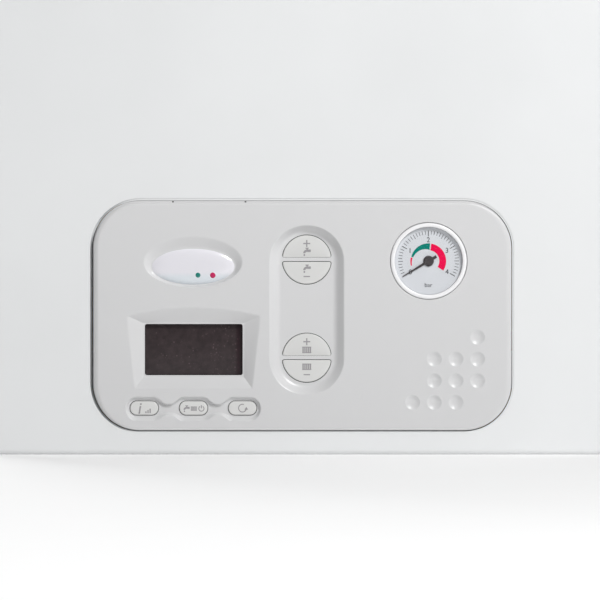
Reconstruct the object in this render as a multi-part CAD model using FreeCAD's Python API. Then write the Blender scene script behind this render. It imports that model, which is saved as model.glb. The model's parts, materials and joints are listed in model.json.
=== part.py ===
"""Wall-hung gas boiler with a sealed combustion chamber and a tilting control box.

Frame: +Z up, the front faces -Y, the wall is the plane Y = 0, and the origin lies midway between
the two wall-fixing holes. All sizes are millimetres.
"""

import FreeCAD
import Part
import math
import os

V = FreeCAD.Vector
X_AXIS = V(1, 0, 0)
Y_AXIS = V(0, 1, 0)
Z_AXIS = V(0, 0, 1)

# Casing
CASE_W = 400.0
CASE_H = 700.0
CASE_D = 250.0
SHEET = 1.0
FRAME_SHEET = 1.5
FIT = 0.3
SEAM = 1.0
TONGUE = 4.0
FLANGE = 12.0
FRONT_RETURN = 45.0
SIDE_EDGE_R = 12.0
FRONT_EDGE_R = 4.0
TRAY_RISE = 40.0
FRAME_RETURN = 40.0
RIB_DEPTH = 3.0
RIB_W = 26.0
RIB_X = 70.0

# Wall fixing
HANG_DROP = 60.0
HANG_PITCH = 240.0
HANG_HOLE_R = 5.0

# Control panel outline
PANEL_W = 260.0
PANEL_H = 142.5
PANEL_R = 26.5
PANEL_FOOT = 15.5
PANEL_GAP = 1.5
FASCIA_WALL = 2.5
FASCIA_EDGE_R = 3.0
FASCIA_SKIRT = 18.0
FASCIA_PAD = 6.5
COVER_WALL = 2.0
BOX_DEPTH = 62.0
BOX_SIDE = 15.0
BOX_FOOT = 4.0
BOX_HEAD = PANEL_H * 0.08421

# Control panel features, placed from the panel's centre
CHANNEL_X = PANEL_W * 0.01154
CHANNEL_W = PANEL_W * 0.17692
CHANNEL_Z = (PANEL_H * 0.23298, PANEL_H * -0.18807)
CHANNEL_DEPTH = 3.5
CHANNEL_SLOPE = 6.0
ROUND_BUTTON_Z = (PANEL_H * 0.24561, PANEL_H * -0.18386)
ROUND_BUTTON_R = CHANNEL_W * 0.33696
ROUND_BUTTON_BAR = 2.6
ROUND_BUTTON_RISE = 2.2
BUTTON_GAP = 0.5
BUTTON_TRAVEL = 1.2
BUTTON_EDGE_R = 0.6
BUTTON_FLANGE = 1.2
BUTTON_STEM_R = 3.0
DISPLAY_X = PANEL_W * -0.25846
DISPLAY_W = PANEL_W * 0.23385
DISPLAY_H = PANEL_H * 0.22316
DISPLAY_Z = PANEL_H * -0.14877
DISPLAY_DEPTH = 3.5
DISPLAY_RIM_TOP_HALF = PANEL_W * 0.15577
DISPLAY_RIM_FOOT_HALF = PANEL_W * 0.13769
DISPLAY_RIM_SHOULDER_Z = PANEL_H * -0.00421
DISPLAY_RIM_CROWN_Z = PANEL_H * 0.03439
DISPLAY_RIM_FOOT_Z = PANEL_H * -0.31579
PILL_X = (PANEL_W * -0.37654, PANEL_W * -0.25885, PANEL_W * -0.14192)
PILL_Z = PANEL_H * -0.40351
PILL_W = PANEL_W * 0.07231
PILL_H = PANEL_H * 0.06596
PILL_RECESS_MARGIN = 2.4
PILL_RECESS_DEPTH = 1.8
PILL_RISE = 1.0
NECK_H = 5.6
BADGE_X = PANEL_W * -0.25962
BADGE_Z = PANEL_H * 0.23439
BADGE_RECESS_HALF = (PANEL_W * 0.11923, PANEL_H * 0.11298)
BADGE_HALF = (PANEL_W * 0.09846, PANEL_H * 0.07789)
BADGE_DROP = PANEL_H * 0.02175
BADGE_DEPTH = 2.5
BADGE_THICK = 1.2
DIMPLE_X = PANEL_W * 0.26385
DIMPLE_Z = PANEL_H * -0.09544
DIMPLE_PITCH = PANEL_W * 0.05173
DIMPLE_R = 4.3
DIMPLE_DEPTH = 1.2
DIMPLE_ROWS = ((3,), (1, 2, 3), (1, 2, 3), (0, 1, 2))

# Pressure gauge
GAUGE_X = PANEL_W * 0.30231
GAUGE_Z = PANEL_H * 0.23719
GAUGE_BEZEL_R = PANEL_H * 0.16667
GAUGE_DIAL_R = PANEL_H * 0.14737
GAUGE_CASE_R = PANEL_H * 0.15649
GAUGE_CASE_DEPTH = 26.0
GAUGE_PROUD = 2.0
GAUGE_DIAL_DEPTH = 4.0
GAUGE_DIAL_THICK = 0.8
GAUGE_GLASS_THICK = 1.2
NEEDLE_LENGTH = GAUGE_DIAL_R * 0.89
NEEDLE_TAIL = PANEL_H * 0.04211
NEEDLE_HALF_W = 0.7
NEEDLE_THICK = 0.6
NEEDLE_HUB_R = 3.3
NEEDLE_SHAFT_R = 0.8
NEEDLE_REST_DEG = 211.0
RUN_FIT = 0.06

# Control box hinge
HINGE_BACK = 4.0
HINGE_DROP = 8.0
HINGE_X = 88.0
HINGE_EYE_R = 2.5
HINGE_PIN_R = 1.25
HINGE_LUG_W = 3.0
HINGE_NECK = (8.0, 11.0)
RAIL_H = 11.0

# Control box inside
BOARD_BACK = 34.0
BOARD_T = 1.6
BOARD_MARGIN = 3.0
SWITCH_H = 3.5
MODULE_T = 8.0
DISPLAY_CROWN_LEFT = 0.3
VENT_COUNT = 9
VENT_PITCH = 12.0
VENT_W = 4.0
RELAY_COUNT = 3
RELAY_PITCH = PANEL_W * 0.08462
RELAY = (16.0, 15.0, 20.0)
TRANSFORMER = (45.0, 20.0, 40.0)
TRANSFORMER_X = PANEL_W * -0.22115
SOCKET = (110.0, 12.0, 10.0)
SOCKET_X = PANEL_W * -0.05769
SOCKET_RISE = 4.0

# Screws
SCREW_R = 2.0
SCREW_HEAD_R = 3.8
SCREW_HEAD_H = 2.5
SCREW_L = 6.0

# Combustion side, heights above the casing's foot
CHAMBER_SIDE_GAP = 18.0
CHAMBER_FRONT_GAP = 6.0
CHAMBER_BACK_GAP = 5.5
CHAMBER_LOW = 300.0
STACK_FRONT_GAP = 12.7
BURNER_LOW = 318.0
BURNER_H = 36.0
BURNER_RAMPS = 12
COMBUSTION_H = 92.0
INSULATION = 10.0
EXCHANGER_H = 60.0
TUBE_COUNT = 5
TUBE_EDGE = 15.0
TUBE_OVERHANG = 8.0
PIPE_R = 9.0
PIPE_ROOM = 24.0
PIPE_WALL = 1.0
FIN_COUNT = 24
FIN_T = 0.8
HOOD_H = 44.0
HOOD_SHARE = 0.318
FAN_R = 56.0
FAN_SHARE = 0.397
FAN_WALL = 1.5
FAN_Z = 620.0
IMPELLER_R = 45.0
IMPELLER_BLADES = 12
FAN_MOTOR_R = 34.0
FAN_MOTOR_GAP = 0.7
FLUE_R = 30.2
FLUE_WALL = 1.5
FLUE_SOCKET = 57.0
FLUE_ABOVE = 35.0
AIR_R = 51.0
AIR_H = 30.0
FLUE_FLANGE_R = 70.0
FLUE_BOLT_PCD = 124.0
MANIFOLD_R = 8.0
MANIFOLD_INSET = 7.3
GAS_PIPE_R = 6.0
SIGHT_R = 12.0
SHAFT_R = 3.0
COVER_MARGIN = 12.0
AIR_SWITCH_R = 22.0
AIR_SWITCH_L = 18.0

# Water and gas side, heights above the casing's foot
CONNECTION_SIDE = 70.0
CONNECTION_Y = -75.0
CONNECTION_END = 10.0
THREAD_L = 16.0
THREAD_LARGE_R = 13.2
THREAD_SMALL_R = 10.5
COLLAR_R = 19.0
GROUP_R = 15.0
FLOW_GROUP_TOP = 150.0
RETURN_GROUP_TOP = 120.0
BRANCH_Z = 90.0
BRANCH_R = 10.0
PLATE_EX_W = 200.0
PLATE_EX_H = 64.0
PLATE_EX_DEPTH = 42.0
PLATE_EX_BACK = -12.0
PUMP_Z = 190.0
PUMP_R = 42.0
PUMP_DEPTH = 44.0
PUMP_MOTOR_R = 45.0
PUMP_MOTOR_L = 70.0
VESSEL_R = 140.0
VESSEL_DEPTH = 48.0
VESSEL_Z = 470.0
GAS_VALVE_W = 64.0
GAS_VALVE_H = 70.0
GAS_VALVE_DEPTH = 60.0
GAS_VALVE_LOW = 150.0
SAFETY_Z = 64.0
SAFETY_R = 12.0
SAFETY_KNOB_R = 16.0
SAFETY_KNOB_L = 16.0
TAP_STUB_R = 6.0
TAP_STUB_END = 18.0
TAP_KNOB_R = 10.0
TAP_KNOB_L = 18.0
GLAND_SIDE = 35.0
GLAND_INSET = 48.0
GLAND_R = 8.0
PIPE_BEND = 12.0

# Places worked out from the sizes above
RIGHT = CASE_W / 2
LEFT = -RIGHT
FRONT = -CASE_D
TOP = HANG_DROP
BOTTOM = TOP - CASE_H
INNER_X = RIGHT - SHEET - FIT
SEAM_Y = FRONT + FRONT_RETURN + SEAM
PANEL_Z = BOTTOM + PANEL_FOOT + PANEL_H / 2
BOX_W = PANEL_W - 2 * BOX_SIDE
BOX_H = PANEL_H - BOX_FOOT - BOX_HEAD
HINGE_Y = FRONT + HINGE_BACK
HINGE_Z = BOTTOM + PANEL_FOOT - HINGE_DROP
TRAY_FRONT = FRONT + BOX_DEPTH + FIT
TRAY_Z = BOTTOM + TRAY_RISE
PAD_Y = FRONT + FASCIA_PAD
BOARD_Y = FRONT + BOARD_BACK
CHAMBER_TOP = TOP - SHEET - FIT
CHAMBER_X = RIGHT - CHAMBER_SIDE_GAP
CHAMBER_FRONT = SEAM_Y + CHAMBER_FRONT_GAP
CHAMBER_BACK = -FRAME_SHEET - RIB_DEPTH - VESSEL_DEPTH - CHAMBER_BACK_GAP
PIPE_X = CHAMBER_X - PIPE_ROOM
TUBE_END = PIPE_X - 2 * PIPE_BEND
STACK_W = 2 * (TUBE_END - TUBE_OVERHANG)
STACK_BACK = CHAMBER_BACK - SHEET - FIT
STACK_FRONT = CHAMBER_FRONT + STACK_FRONT_GAP
STACK_DEPTH = STACK_BACK - STACK_FRONT
STACK_Y = (STACK_BACK + STACK_FRONT) / 2
COMBUSTION_Z = BOTTOM + BURNER_LOW + BURNER_H + FIT
EXCHANGER_Z = COMBUSTION_Z + COMBUSTION_H + FIT
TUBE_PITCH = (STACK_DEPTH - 2 * TUBE_EDGE) / (TUBE_COUNT - 1)
TUBE_R = TUBE_PITCH / 3
TUBE_Z = EXCHANGER_Z + EXCHANGER_H / 2
HOOD_Z = EXCHANGER_Z + EXCHANGER_H + FIT
HOOD_FRONT = STACK_BACK - HOOD_SHARE * STACK_DEPTH
FAN_DEPTH = FAN_SHARE * STACK_DEPTH
FAN_BACK = HOOD_FRONT - FIT
FAN_FRONT = FAN_BACK - FAN_DEPTH
FAN_MOTOR_L = FAN_FRONT - STACK_FRONT - FAN_MOTOR_GAP
FAN_X = -FAN_R / 2
FAN_CENTRE_Z = BOTTOM + FAN_Z
FLUE_Y = FAN_BACK - FAN_DEPTH / 2
FLUE_FOOT = TOP + FLUE_ABOVE - FLUE_SOCKET
MANIFOLD_Y = STACK_FRONT + MANIFOLD_INSET
PUMP_CENTRE_Z = BOTTOM + PUMP_Z
CONNECTION_PITCH = (RIGHT - CONNECTION_SIDE) / 2
CONNECTION_X = [CONNECTION_PITCH * k for k in (-2, -1, 0, 1, 2)]
TAP_X = (CONNECTION_X[3] + CONNECTION_X[4]) / 2
GLAND_X = LEFT + GLAND_SIDE
GLAND_Y = TRAY_FRONT + GLAND_INSET


# Shape helpers
def box(x, y, z):
    """A block between two X, two Y and two Z planes."""
    corner = V(min(x), min(y), min(z))
    return Part.makeBox(abs(x[1] - x[0]), abs(y[1] - y[0]), abs(z[1] - z[0]), corner)


def rod(start, direction, length, radius):
    """A round bar."""
    return Part.makeCylinder(radius, length, start, direction)


def ring(start, direction, length, outer, inner):
    """A round tube."""
    return rod(start, direction, length, outer).cut(rod(start, direction, length, inner))


def hexagon(start, length, radius):
    """An upright hexagonal bar, radius across its flats."""
    reach = radius / math.cos(math.pi / 6)
    corners = [start + V(reach * math.cos(k * math.pi / 3), reach * math.sin(k * math.pi / 3), 0)
               for k in range(7)]
    return Part.Face(Part.makePolygon(corners)).extrude(V(0, 0, length))


def join(first, *others):
    """One solid from pieces that meet."""
    return first.fuse(list(others)).removeSplitter()


def rounded_wire(cx, cz, width, height, radius, y):
    """A rounded rectangle in a plane of constant Y. A radius of half the height makes a pill."""
    hx, hz = width / 2, height / 2
    d = radius * (1 - math.sqrt(0.5))
    edges = []
    for sx, sz in ((1, 1), (-1, 1), (-1, -1), (1, -1)):
        beside = V(cx + sx * hx, y, cz + sz * (hz - radius))
        between = V(cx + sx * (hx - d), y, cz + sz * (hz - d))
        above = V(cx + sx * (hx - radius), y, cz + sz * hz)
        ends = (beside, above) if sx * sz > 0 else (above, beside)
        edges.append(Part.Arc(ends[0], between, ends[1]).toShape())
    corners = list(edges)
    for k, corner in enumerate(corners):
        a = corner.Vertexes[-1].Point
        b = corners[(k + 1) % 4].Vertexes[0].Point
        if a.distanceToPoint(b) > 1e-6:
            edges.append(Part.makeLine(a, b))
    return Part.Wire(Part.__sortEdges__(edges))


def ellipse_wire(cx, cz, half_w, half_h, y):
    """An ellipse in a plane of constant Y, its long axis along X."""
    curve = Part.Ellipse(V(cx + half_w, y, cz), V(cx, y, cz + half_h), V(cx, y, cz))
    return Part.Wire([curve.toShape()])


def prism(wire, depth):
    """A wire filled and carried along Y."""
    return Part.Face(wire).extrude(V(0, depth, 0))


def loft(wires, ruled=True):
    """A closed solid through the wires."""
    return Part.makeLoft(wires, True, ruled)


def bent_pipe(points, bend, outer, inner):
    """A round pipe along straight runs joined by tangent arcs."""
    edges = []
    start = points[0]
    for before, corner, after in zip(points, points[1:], points[2:]):
        into = (corner - before).normalize()
        out = (after - corner).normalize()
        half = into.getAngle(out) / 2
        reach = bend * math.tan(half)
        first, last = corner - into * reach, corner + out * reach
        inward = (out - into).normalize()
        middle = corner + inward * (bend / math.cos(half) - bend)
        edges.append(Part.makeLine(start, first))
        edges.append(Part.Arc(first, middle, last).toShape())
        start = last
    edges.append(Part.makeLine(start, points[-1]))
    path = Part.Wire(edges)
    heading = (points[1] - points[0]).normalize()
    solids = []
    for radius in (outer, inner):
        section = Part.Wire([Part.makeCircle(radius, points[0], heading)])
        solids.append(path.makePipeShell([section], True, False))
    return solids[0].cut(solids[1])


def at_panel(x, z):
    """A place on the control panel as row X and Z, from the panel's centre."""
    return x, PANEL_Z + z


def foot(height):
    """A height above the casing's foot as row Z."""
    return BOTTOM + height


# Casing and frame
def back_frame():
    """Pressed back sheet with two side returns, two stiffening ribs and the wall-fixing holes."""
    z = (BOTTOM, TOP - SHEET)
    sheet = box((-INNER_X, INNER_X), (-FRAME_SHEET, 0), z)
    pieces = []
    for side in (-1, 1):
        pieces.append(box((side * INNER_X, side * (INNER_X - FRAME_SHEET)), (-FRAME_RETURN, 0), z))
        pieces.append(rib(side, RIB_W / 2, FRAME_SHEET + RIB_DEPTH, 0))
    frame = join(sheet, *pieces)
    for side in (-1, 1):
        frame = frame.cut(rib(side, RIB_W / 2 - FRAME_SHEET, RIB_DEPTH, FRAME_SHEET))
        hole = rod(V(side * HANG_PITCH / 2, -FRAME_SHEET, 0), Y_AXIS, FRAME_SHEET, HANG_HOLE_R)
        frame = frame.cut(hole)
    return frame


def rib(side, half_width, depth, inset):
    """The block that a stiffening rib fills, from the wall plane inwards."""
    x = side * RIB_X
    ends = (BOTTOM + FLANGE * 6 + inset, TOP - FLANGE * 10 - inset)
    return box((x - half_width, x + half_width), (-depth, 0), ends)


def tongue(side, thickness, half_width, y, lift):
    """The room of one locating tongue at the top of the front casing."""
    x = side * CASE_W / 4
    top = TOP - SHEET - lift
    return box((x - half_width, x + half_width), y, (top - thickness, top))


def top_plate():
    """Top sheet with a front flange, slots for the casing's tongues and the flue opening."""
    sheet = box((-INNER_X, INNER_X), (SEAM_Y, 0), (TOP - SHEET, TOP))
    flange = box((-INNER_X, INNER_X), (SEAM_Y, SEAM_Y + SHEET), (TOP - FLANGE, TOP))
    plate = join(sheet, flange)
    for side in (-1, 1):
        plate = plate.cut(tongue(side, SHEET + 2 * FIT, FLANGE + FIT, (SEAM_Y, SEAM_Y + SHEET), 0))
    plate = plate.cut(rod(V(0, FLUE_Y, TOP - SHEET), Z_AXIS, SHEET, AIR_R))
    for spot in flue_bolts():
        plate = plate.cut(rod(V(spot.x, spot.y, TOP - SHEET), Z_AXIS, SHEET, SCREW_R))
    return plate


def flue_bolts():
    """Centres of the four flange screws round the flue."""
    reach = FLUE_BOLT_PCD / 2
    turns = [math.radians(45 + 90 * k) for k in range(4)]
    return [V(reach * math.cos(t), FLUE_Y + reach * math.sin(t), TOP) for t in turns]


def bottom_tray():
    """Bottom sheet with an upturned front flange and holes for the connections."""
    y = (TRAY_FRONT, -FRAME_SHEET)
    sheet = box((-INNER_X, INNER_X), y, (TRAY_Z, TRAY_Z + SHEET))
    flange = box((-INNER_X, INNER_X), (TRAY_FRONT, TRAY_FRONT + SHEET), (TRAY_Z, TRAY_Z + 2 * FLANGE))
    tray = join(sheet, flange)
    for side in (-1, 1):
        notch = ((side * (INNER_X - FRAME_SHEET - FIT), side * RIGHT), (-FRAME_RETURN - FIT, 0))
        tray = tray.cut(box(*notch, (TRAY_Z, TRAY_Z + SHEET)))
    spots = [(x, CONNECTION_Y, GROUP_R + SEAM) for x in CONNECTION_X]
    spots.append((TAP_X, CONNECTION_Y, TAP_STUB_R + SEAM))
    spots.append((GLAND_X, GLAND_Y, GLAND_R + FIT))
    for x, y_hole, radius in spots:
        tray = tray.cut(rod(V(x, y_hole, TRAY_Z), Z_AXIS, SHEET, radius))
    return tray


def side_panel(side):
    """Painted side sheet with a turned-in front flange."""
    sheet = box((side * RIGHT, side * (RIGHT - SHEET)), (SEAM_Y, 0), (BOTTOM, TOP))
    flange = box((side * RIGHT, side * (RIGHT - FLANGE)), (SEAM_Y, SEAM_Y + SHEET),
                 (BOTTOM, TOP - FLANGE - FIT))
    return join(sheet, flange)


def hinge_rail():
    """Front cross rail with two lugs that carry the control box and slots for the casing screws."""
    low = BOTTOM + SHEET + FIT
    x = (-RIGHT + SHEET * 3, RIGHT - SHEET * 3)
    web = box(x, (SEAM_Y - FRAME_SHEET, SEAM_Y), (low, low + RAIL_H))
    shelf_front = FRONT + FRONT_RETURN / 3
    shelf = box(x, (shelf_front, SEAM_Y), (low, low + FRAME_SHEET))
    lugs = []
    for side in (-1, 1):
        lug_x = (side * HINGE_X, side * (HINGE_X + HINGE_LUG_W))
        arm = box(lug_x, (HINGE_Y, SEAM_Y), (HINGE_Z - HINGE_EYE_R, HINGE_Z + HINGE_EYE_R))
        eye = rod(V(min(lug_x), HINGE_Y, HINGE_Z), X_AXIS, HINGE_LUG_W, HINGE_EYE_R)
        lugs += [arm, eye]
    bore = rod(V(-RIGHT, HINGE_Y, HINGE_Z), X_AXIS, CASE_W, HINGE_PIN_R + RUN_FIT)
    rail = join(web, shelf, *lugs).cut(bore)
    for side in (-1, 1):
        screw = casing_screw_spot(side)
        slot = box((screw.x - SCREW_R - FIT, screw.x + SCREW_R + FIT), (shelf_front, screw.y + SCREW_R + FIT),
                   (low, low + FRAME_SHEET))
        rail = rail.cut(slot)
    return rail


def casing_screw_spot(side):
    """Where a casing screw crosses the casing's foot."""
    return V(side * CASE_W / 4, FRONT + FRONT_RETURN / 2, BOTTOM)


def casing_block(inset):
    """The front casing's outside, or with an inset of one sheet its inside."""
    x = (LEFT + inset, RIGHT - inset)
    depth = FRONT_RETURN - inset
    block = box(x, (FRONT + inset, FRONT + inset + depth), (BOTTOM + inset, TOP - inset))
    front = FRONT + inset

    def front_edges(shape, along):
        found = []
        for edge in shape.Edges:
            box_of = edge.BoundBox
            at_front = box_of.YMax < front + 1e-6
            long_enough = (box_of.ZLength if along == "Z" else box_of.XLength) > CASE_W / 2
            if at_front and long_enough:
                found.append(edge)
        return found

    block = block.makeFillet(SIDE_EDGE_R - inset, front_edges(block, "Z"))
    return block.makeFillet(FRONT_EDGE_R - inset, front_edges(block, "X"))


def front_casing():
    """Folded front sheet with rounded edges, the control panel's opening and two locating tongues."""
    shell = casing_block(0).cut(casing_block(SHEET))
    hole = rounded_wire(0, PANEL_Z, PANEL_W + 2 * PANEL_GAP, PANEL_H + 2 * PANEL_GAP,
                        PANEL_R + PANEL_GAP, FRONT - SHEET)
    shell = shell.cut(prism(hole, 3 * SHEET))
    tongues = []
    for side in (-1, 1):
        tongues.append(tongue(side, SHEET + FIT, FLANGE, (SEAM_Y - 2 * FLANGE, SEAM_Y - SEAM), 0))
        tongues.append(tongue(side, SHEET, FLANGE, (SEAM_Y - 2 * FLANGE, SEAM_Y + TONGUE), FIT))
    shell = join(shell, *tongues)
    for side in (-1, 1):
        spot = casing_screw_spot(side)
        shell = shell.cut(Part.makeCone(SCREW_HEAD_R + FIT / 3, SCREW_R + FIT / 3, SHEET, spot, Z_AXIS))
    return shell


def casing_screws():
    """Two countersunk screws at the casing's foot."""
    screws = []
    for side in (-1, 1):
        spot = casing_screw_spot(side)
        head = Part.makeCone(SCREW_HEAD_R, SCREW_R, SHEET, spot, Z_AXIS)
        screw = join(head, rod(spot + V(0, 0, SHEET), Z_AXIS, SCREW_L, SCREW_R))
        slot = box((spot.x - SCREW_HEAD_R, spot.x + SCREW_HEAD_R), (spot.y - FIT, spot.y + FIT),
                   (BOTTOM, BOTTOM + SHEET / 2))
        screws.append(screw.cut(slot))
    return Part.makeCompound(screws)


# Control panel
def fascia_outline(inset, y):
    """The panel's outline, drawn in by an inset."""
    return rounded_wire(0, PANEL_Z, PANEL_W - 2 * inset, PANEL_H - 2 * inset, PANEL_R - inset, y)


def channel_wire(inset, y):
    """The upright pill round the two round button pairs."""
    x, middle = at_panel(CHANNEL_X, sum(CHANNEL_Z) / 2)
    half = CHANNEL_W / 2 - inset
    height = CHANNEL_Z[0] - CHANNEL_Z[1] + 2 * half
    return rounded_wire(x, middle, 2 * half, height, half, y)


def display_wire(share, y):
    """The display rim: its arched outer outline at 0, the window at 1."""
    def mix(a, b):
        return a + (b - a) * share

    x, base = at_panel(DISPLAY_X, 0)
    window_top = DISPLAY_Z + DISPLAY_H / 2
    window_foot = DISPLAY_Z - DISPLAY_H / 2
    top_half = mix(DISPLAY_RIM_TOP_HALF, DISPLAY_W / 2)
    foot_half = mix(DISPLAY_RIM_FOOT_HALF, DISPLAY_W / 2)
    shoulder = base + mix(DISPLAY_RIM_SHOULDER_Z, window_top)
    crown = base + mix(DISPLAY_RIM_CROWN_Z, window_top + DISPLAY_CROWN_LEFT)
    low = base + mix(DISPLAY_RIM_FOOT_Z, window_foot)
    a, b = V(x - top_half, y, shoulder), V(x + top_half, y, shoulder)
    c, d = V(x + foot_half, y, low), V(x - foot_half, y, low)
    arch = Part.Arc(a, V(x, y, crown), b).toShape()
    return Part.Wire([arch, Part.makeLine(b, c), Part.makeLine(c, d), Part.makeLine(d, a)])


def pill_chain(inset, depth, y):
    """Three pill recesses joined by a narrow neck, drawn in by an inset."""
    margin = PILL_RECESS_MARGIN - inset
    height = PILL_H + 2 * margin
    solids = []
    for pill_x in PILL_X:
        x, z = at_panel(pill_x, PILL_Z)
        solids.append(prism(rounded_wire(x, z, PILL_W + 2 * margin, height, height / 2, y), depth))
    z = PANEL_Z + PILL_Z
    half = NECK_H / 2 - inset
    solids.append(box((PILL_X[0], PILL_X[-1]), (y, y + depth), (z - half, z + half)))
    return join(*solids)


def badge_wire(share, y):
    """The oval badge recess: its rim at 0, the badge's own outline at 1."""
    x, z = at_panel(BADGE_X, BADGE_Z - BADGE_DROP * share)
    halves = [a + (b - a) * share for a, b in zip(BADGE_RECESS_HALF, BADGE_HALF)]
    return ellipse_wire(x, z, halves[0], halves[1], y)


def dimples():
    """Spherical dents in rows at the panel's lower right."""
    radius = (DIMPLE_R ** 2 + DIMPLE_DEPTH ** 2) / (2 * DIMPLE_DEPTH)
    balls = []
    for row, columns in enumerate(DIMPLE_ROWS):
        for column in columns:
            x, z = at_panel(DIMPLE_X + column * DIMPLE_PITCH, DIMPLE_Z - row * DIMPLE_PITCH)
            balls.append(Part.makeSphere(radius, V(x, FRONT + DIMPLE_DEPTH - radius, z)))
    return balls


def half_disc(upper, radius, bar, y, depth):
    """One half of a round button pair: a disc cut off half a bar's width from the pair's middle."""
    sign = 1 if upper else -1
    disc = rod(V(0, y, 0), Y_AXIS, depth, radius)
    keep = box((-radius, radius), (y, y + depth), (sign * bar / 2, sign * radius))
    return disc.common(keep)


def fascia():
    """Moulded panel face: rounded edge, skirt, thickened pads, recesses, apertures and hinge arms."""
    block = prism(fascia_outline(0, FRONT), FASCIA_SKIRT)
    rim = [e for e in block.Edges if e.BoundBox.YMax < FRONT + 1e-6]
    block = block.makeFillet(FASCIA_EDGE_R, rim)
    hollow = prism(fascia_outline(FASCIA_WALL, FRONT + FASCIA_WALL), FASCIA_SKIRT)
    inner = FRONT + FASCIA_WALL / 2
    depth = PAD_Y - inner
    pads = [prism(channel_wire(-FASCIA_WALL / 2, inner), depth),
            prism(display_wire(-0.15, inner), depth),
            prism(badge_wire(-0.15, inner), depth),
            pill_chain(-FASCIA_WALL / 2, depth, inner)]
    gauge = V(GAUGE_X, inner, PANEL_Z + GAUGE_Z)
    pads.append(rod(gauge, Y_AXIS, depth, GAUGE_CASE_R + FASCIA_WALL))
    shell = join(block.cut(hollow), *pads, *hinge_arms())
    cuts = [loft([channel_wire(0, FRONT), channel_wire(CHANNEL_SLOPE, FRONT + CHANNEL_DEPTH)]),
            loft([display_wire(0, FRONT), display_wire(1, FRONT + DISPLAY_DEPTH)]),
            loft([badge_wire(0, FRONT), badge_wire(1, FRONT + BADGE_DEPTH)]),
            pill_chain(0, PILL_RECESS_DEPTH, FRONT)]
    cuts += dimples()
    cuts.append(rod(gauge - V(0, FASCIA_WALL, 0), Y_AXIS, depth + FASCIA_WALL, GAUGE_CASE_R + FIT))
    x, z = at_panel(DISPLAY_X, DISPLAY_Z)
    cuts.append(box((x - DISPLAY_W / 2, x + DISPLAY_W / 2), (FRONT, PAD_Y),
                    (z - DISPLAY_H / 2, z + DISPLAY_H / 2)))
    for pair_z in ROUND_BUTTON_Z:
        for upper in (True, False):
            slot = half_disc(upper, ROUND_BUTTON_R + BUTTON_GAP, ROUND_BUTTON_BAR - 2 * BUTTON_GAP,
                             FRONT, FASCIA_PAD)
            slot.translate(V(CHANNEL_X, 0, PANEL_Z + pair_z))
            cuts.append(slot)
    for pill_x in PILL_X:
        px, pz = at_panel(pill_x, PILL_Z)
        height = PILL_H + 2 * BUTTON_GAP
        cuts.append(prism(rounded_wire(px, pz, PILL_W + 2 * BUTTON_GAP, height, height / 2, FRONT),
                          FASCIA_PAD))
    return shell.cut(cuts)


def hinge_arms():
    """Goose-neck arms under the skirt, each with an eye beside a rail lug."""
    arms = []
    skirt_foot = BOTTOM + PANEL_FOOT
    for side in (-1, 1):
        x = sorted((side * (HINGE_X - FIT), side * (HINGE_X - FIT - HINGE_LUG_W)))
        eye = rod(V(x[0], HINGE_Y, HINGE_Z), X_AXIS, HINGE_LUG_W, HINGE_EYE_R)
        neck = [HINGE_Y + reach for reach in HINGE_NECK]
        bar = box(x, (HINGE_Y, neck[1]), (HINGE_Z - HINGE_EYE_R, HINGE_Z + HINGE_EYE_R / 2))
        rise = box(x, neck, (HINGE_Z - HINGE_EYE_R, skirt_foot + FASCIA_WALL / 2))
        arm = join(eye, bar, rise)
        arms.append(arm.cut(rod(V(x[0], HINGE_Y, HINGE_Z), X_AXIS, HINGE_LUG_W, HINGE_PIN_R)))
    return arms


def hinge_pins():
    """Two steel pins, fixed in the fascia's eyes and free in the rail's lugs."""
    pins = []
    for side in (-1, 1):
        ends = sorted((side * (HINGE_X - FIT - HINGE_LUG_W), side * (HINGE_X + HINGE_LUG_W)))
        pins.append(rod(V(ends[0], HINGE_Y, HINGE_Z), X_AXIS, ends[1] - ends[0], HINGE_PIN_R))
    return Part.makeCompound(pins)


def round_button(pair_z, upper):
    """Half-round key with an eased edge, a retaining flange and a stem to its switch."""
    face = FRONT + CHANNEL_DEPTH - ROUND_BUTTON_RISE
    seat = PAD_Y + FIT
    cap = half_disc(upper, ROUND_BUTTON_R, ROUND_BUTTON_BAR, face, seat - face)
    rim = [e for e in cap.Edges if e.BoundBox.YMax < face + 1e-6]
    cap = cap.makeFillet(BUTTON_EDGE_R, rim)
    flange = half_disc(upper, ROUND_BUTTON_R + BUTTON_FLANGE, ROUND_BUTTON_BAR / 2, seat, BUTTON_FLANGE)
    middle = (1 if upper else -1) * ROUND_BUTTON_R / 2
    stem = rod(V(0, seat, middle), Y_AXIS, BOARD_Y - SWITCH_H - seat - BUTTON_TRAVEL - FIT, BUTTON_STEM_R)
    key = join(cap, flange, stem)
    key.translate(V(CHANNEL_X, 0, PANEL_Z + pair_z))
    return key


def pill_button(pill_x):
    """Pill-shaped key with an eased edge, a retaining flange and a stem to its switch."""
    x, z = at_panel(pill_x, PILL_Z)
    face = FRONT + PILL_RECESS_DEPTH - PILL_RISE
    seat = PAD_Y + FIT
    cap = prism(rounded_wire(x, z, PILL_W, PILL_H, PILL_H / 2, face), seat - face)
    rim = [e for e in cap.Edges if e.BoundBox.YMax < face + 1e-6]
    cap = cap.makeFillet(BUTTON_EDGE_R, rim)
    height = PILL_H + 2 * BUTTON_FLANGE
    flange = prism(rounded_wire(x, z, PILL_W + 2 * BUTTON_FLANGE, height, height / 2, seat), BUTTON_FLANGE)
    stem = rod(V(x, seat, z), Y_AXIS, BOARD_Y - SWITCH_H - seat - BUTTON_TRAVEL - FIT, BUTTON_STEM_R)
    return join(cap, flange, stem)


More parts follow.
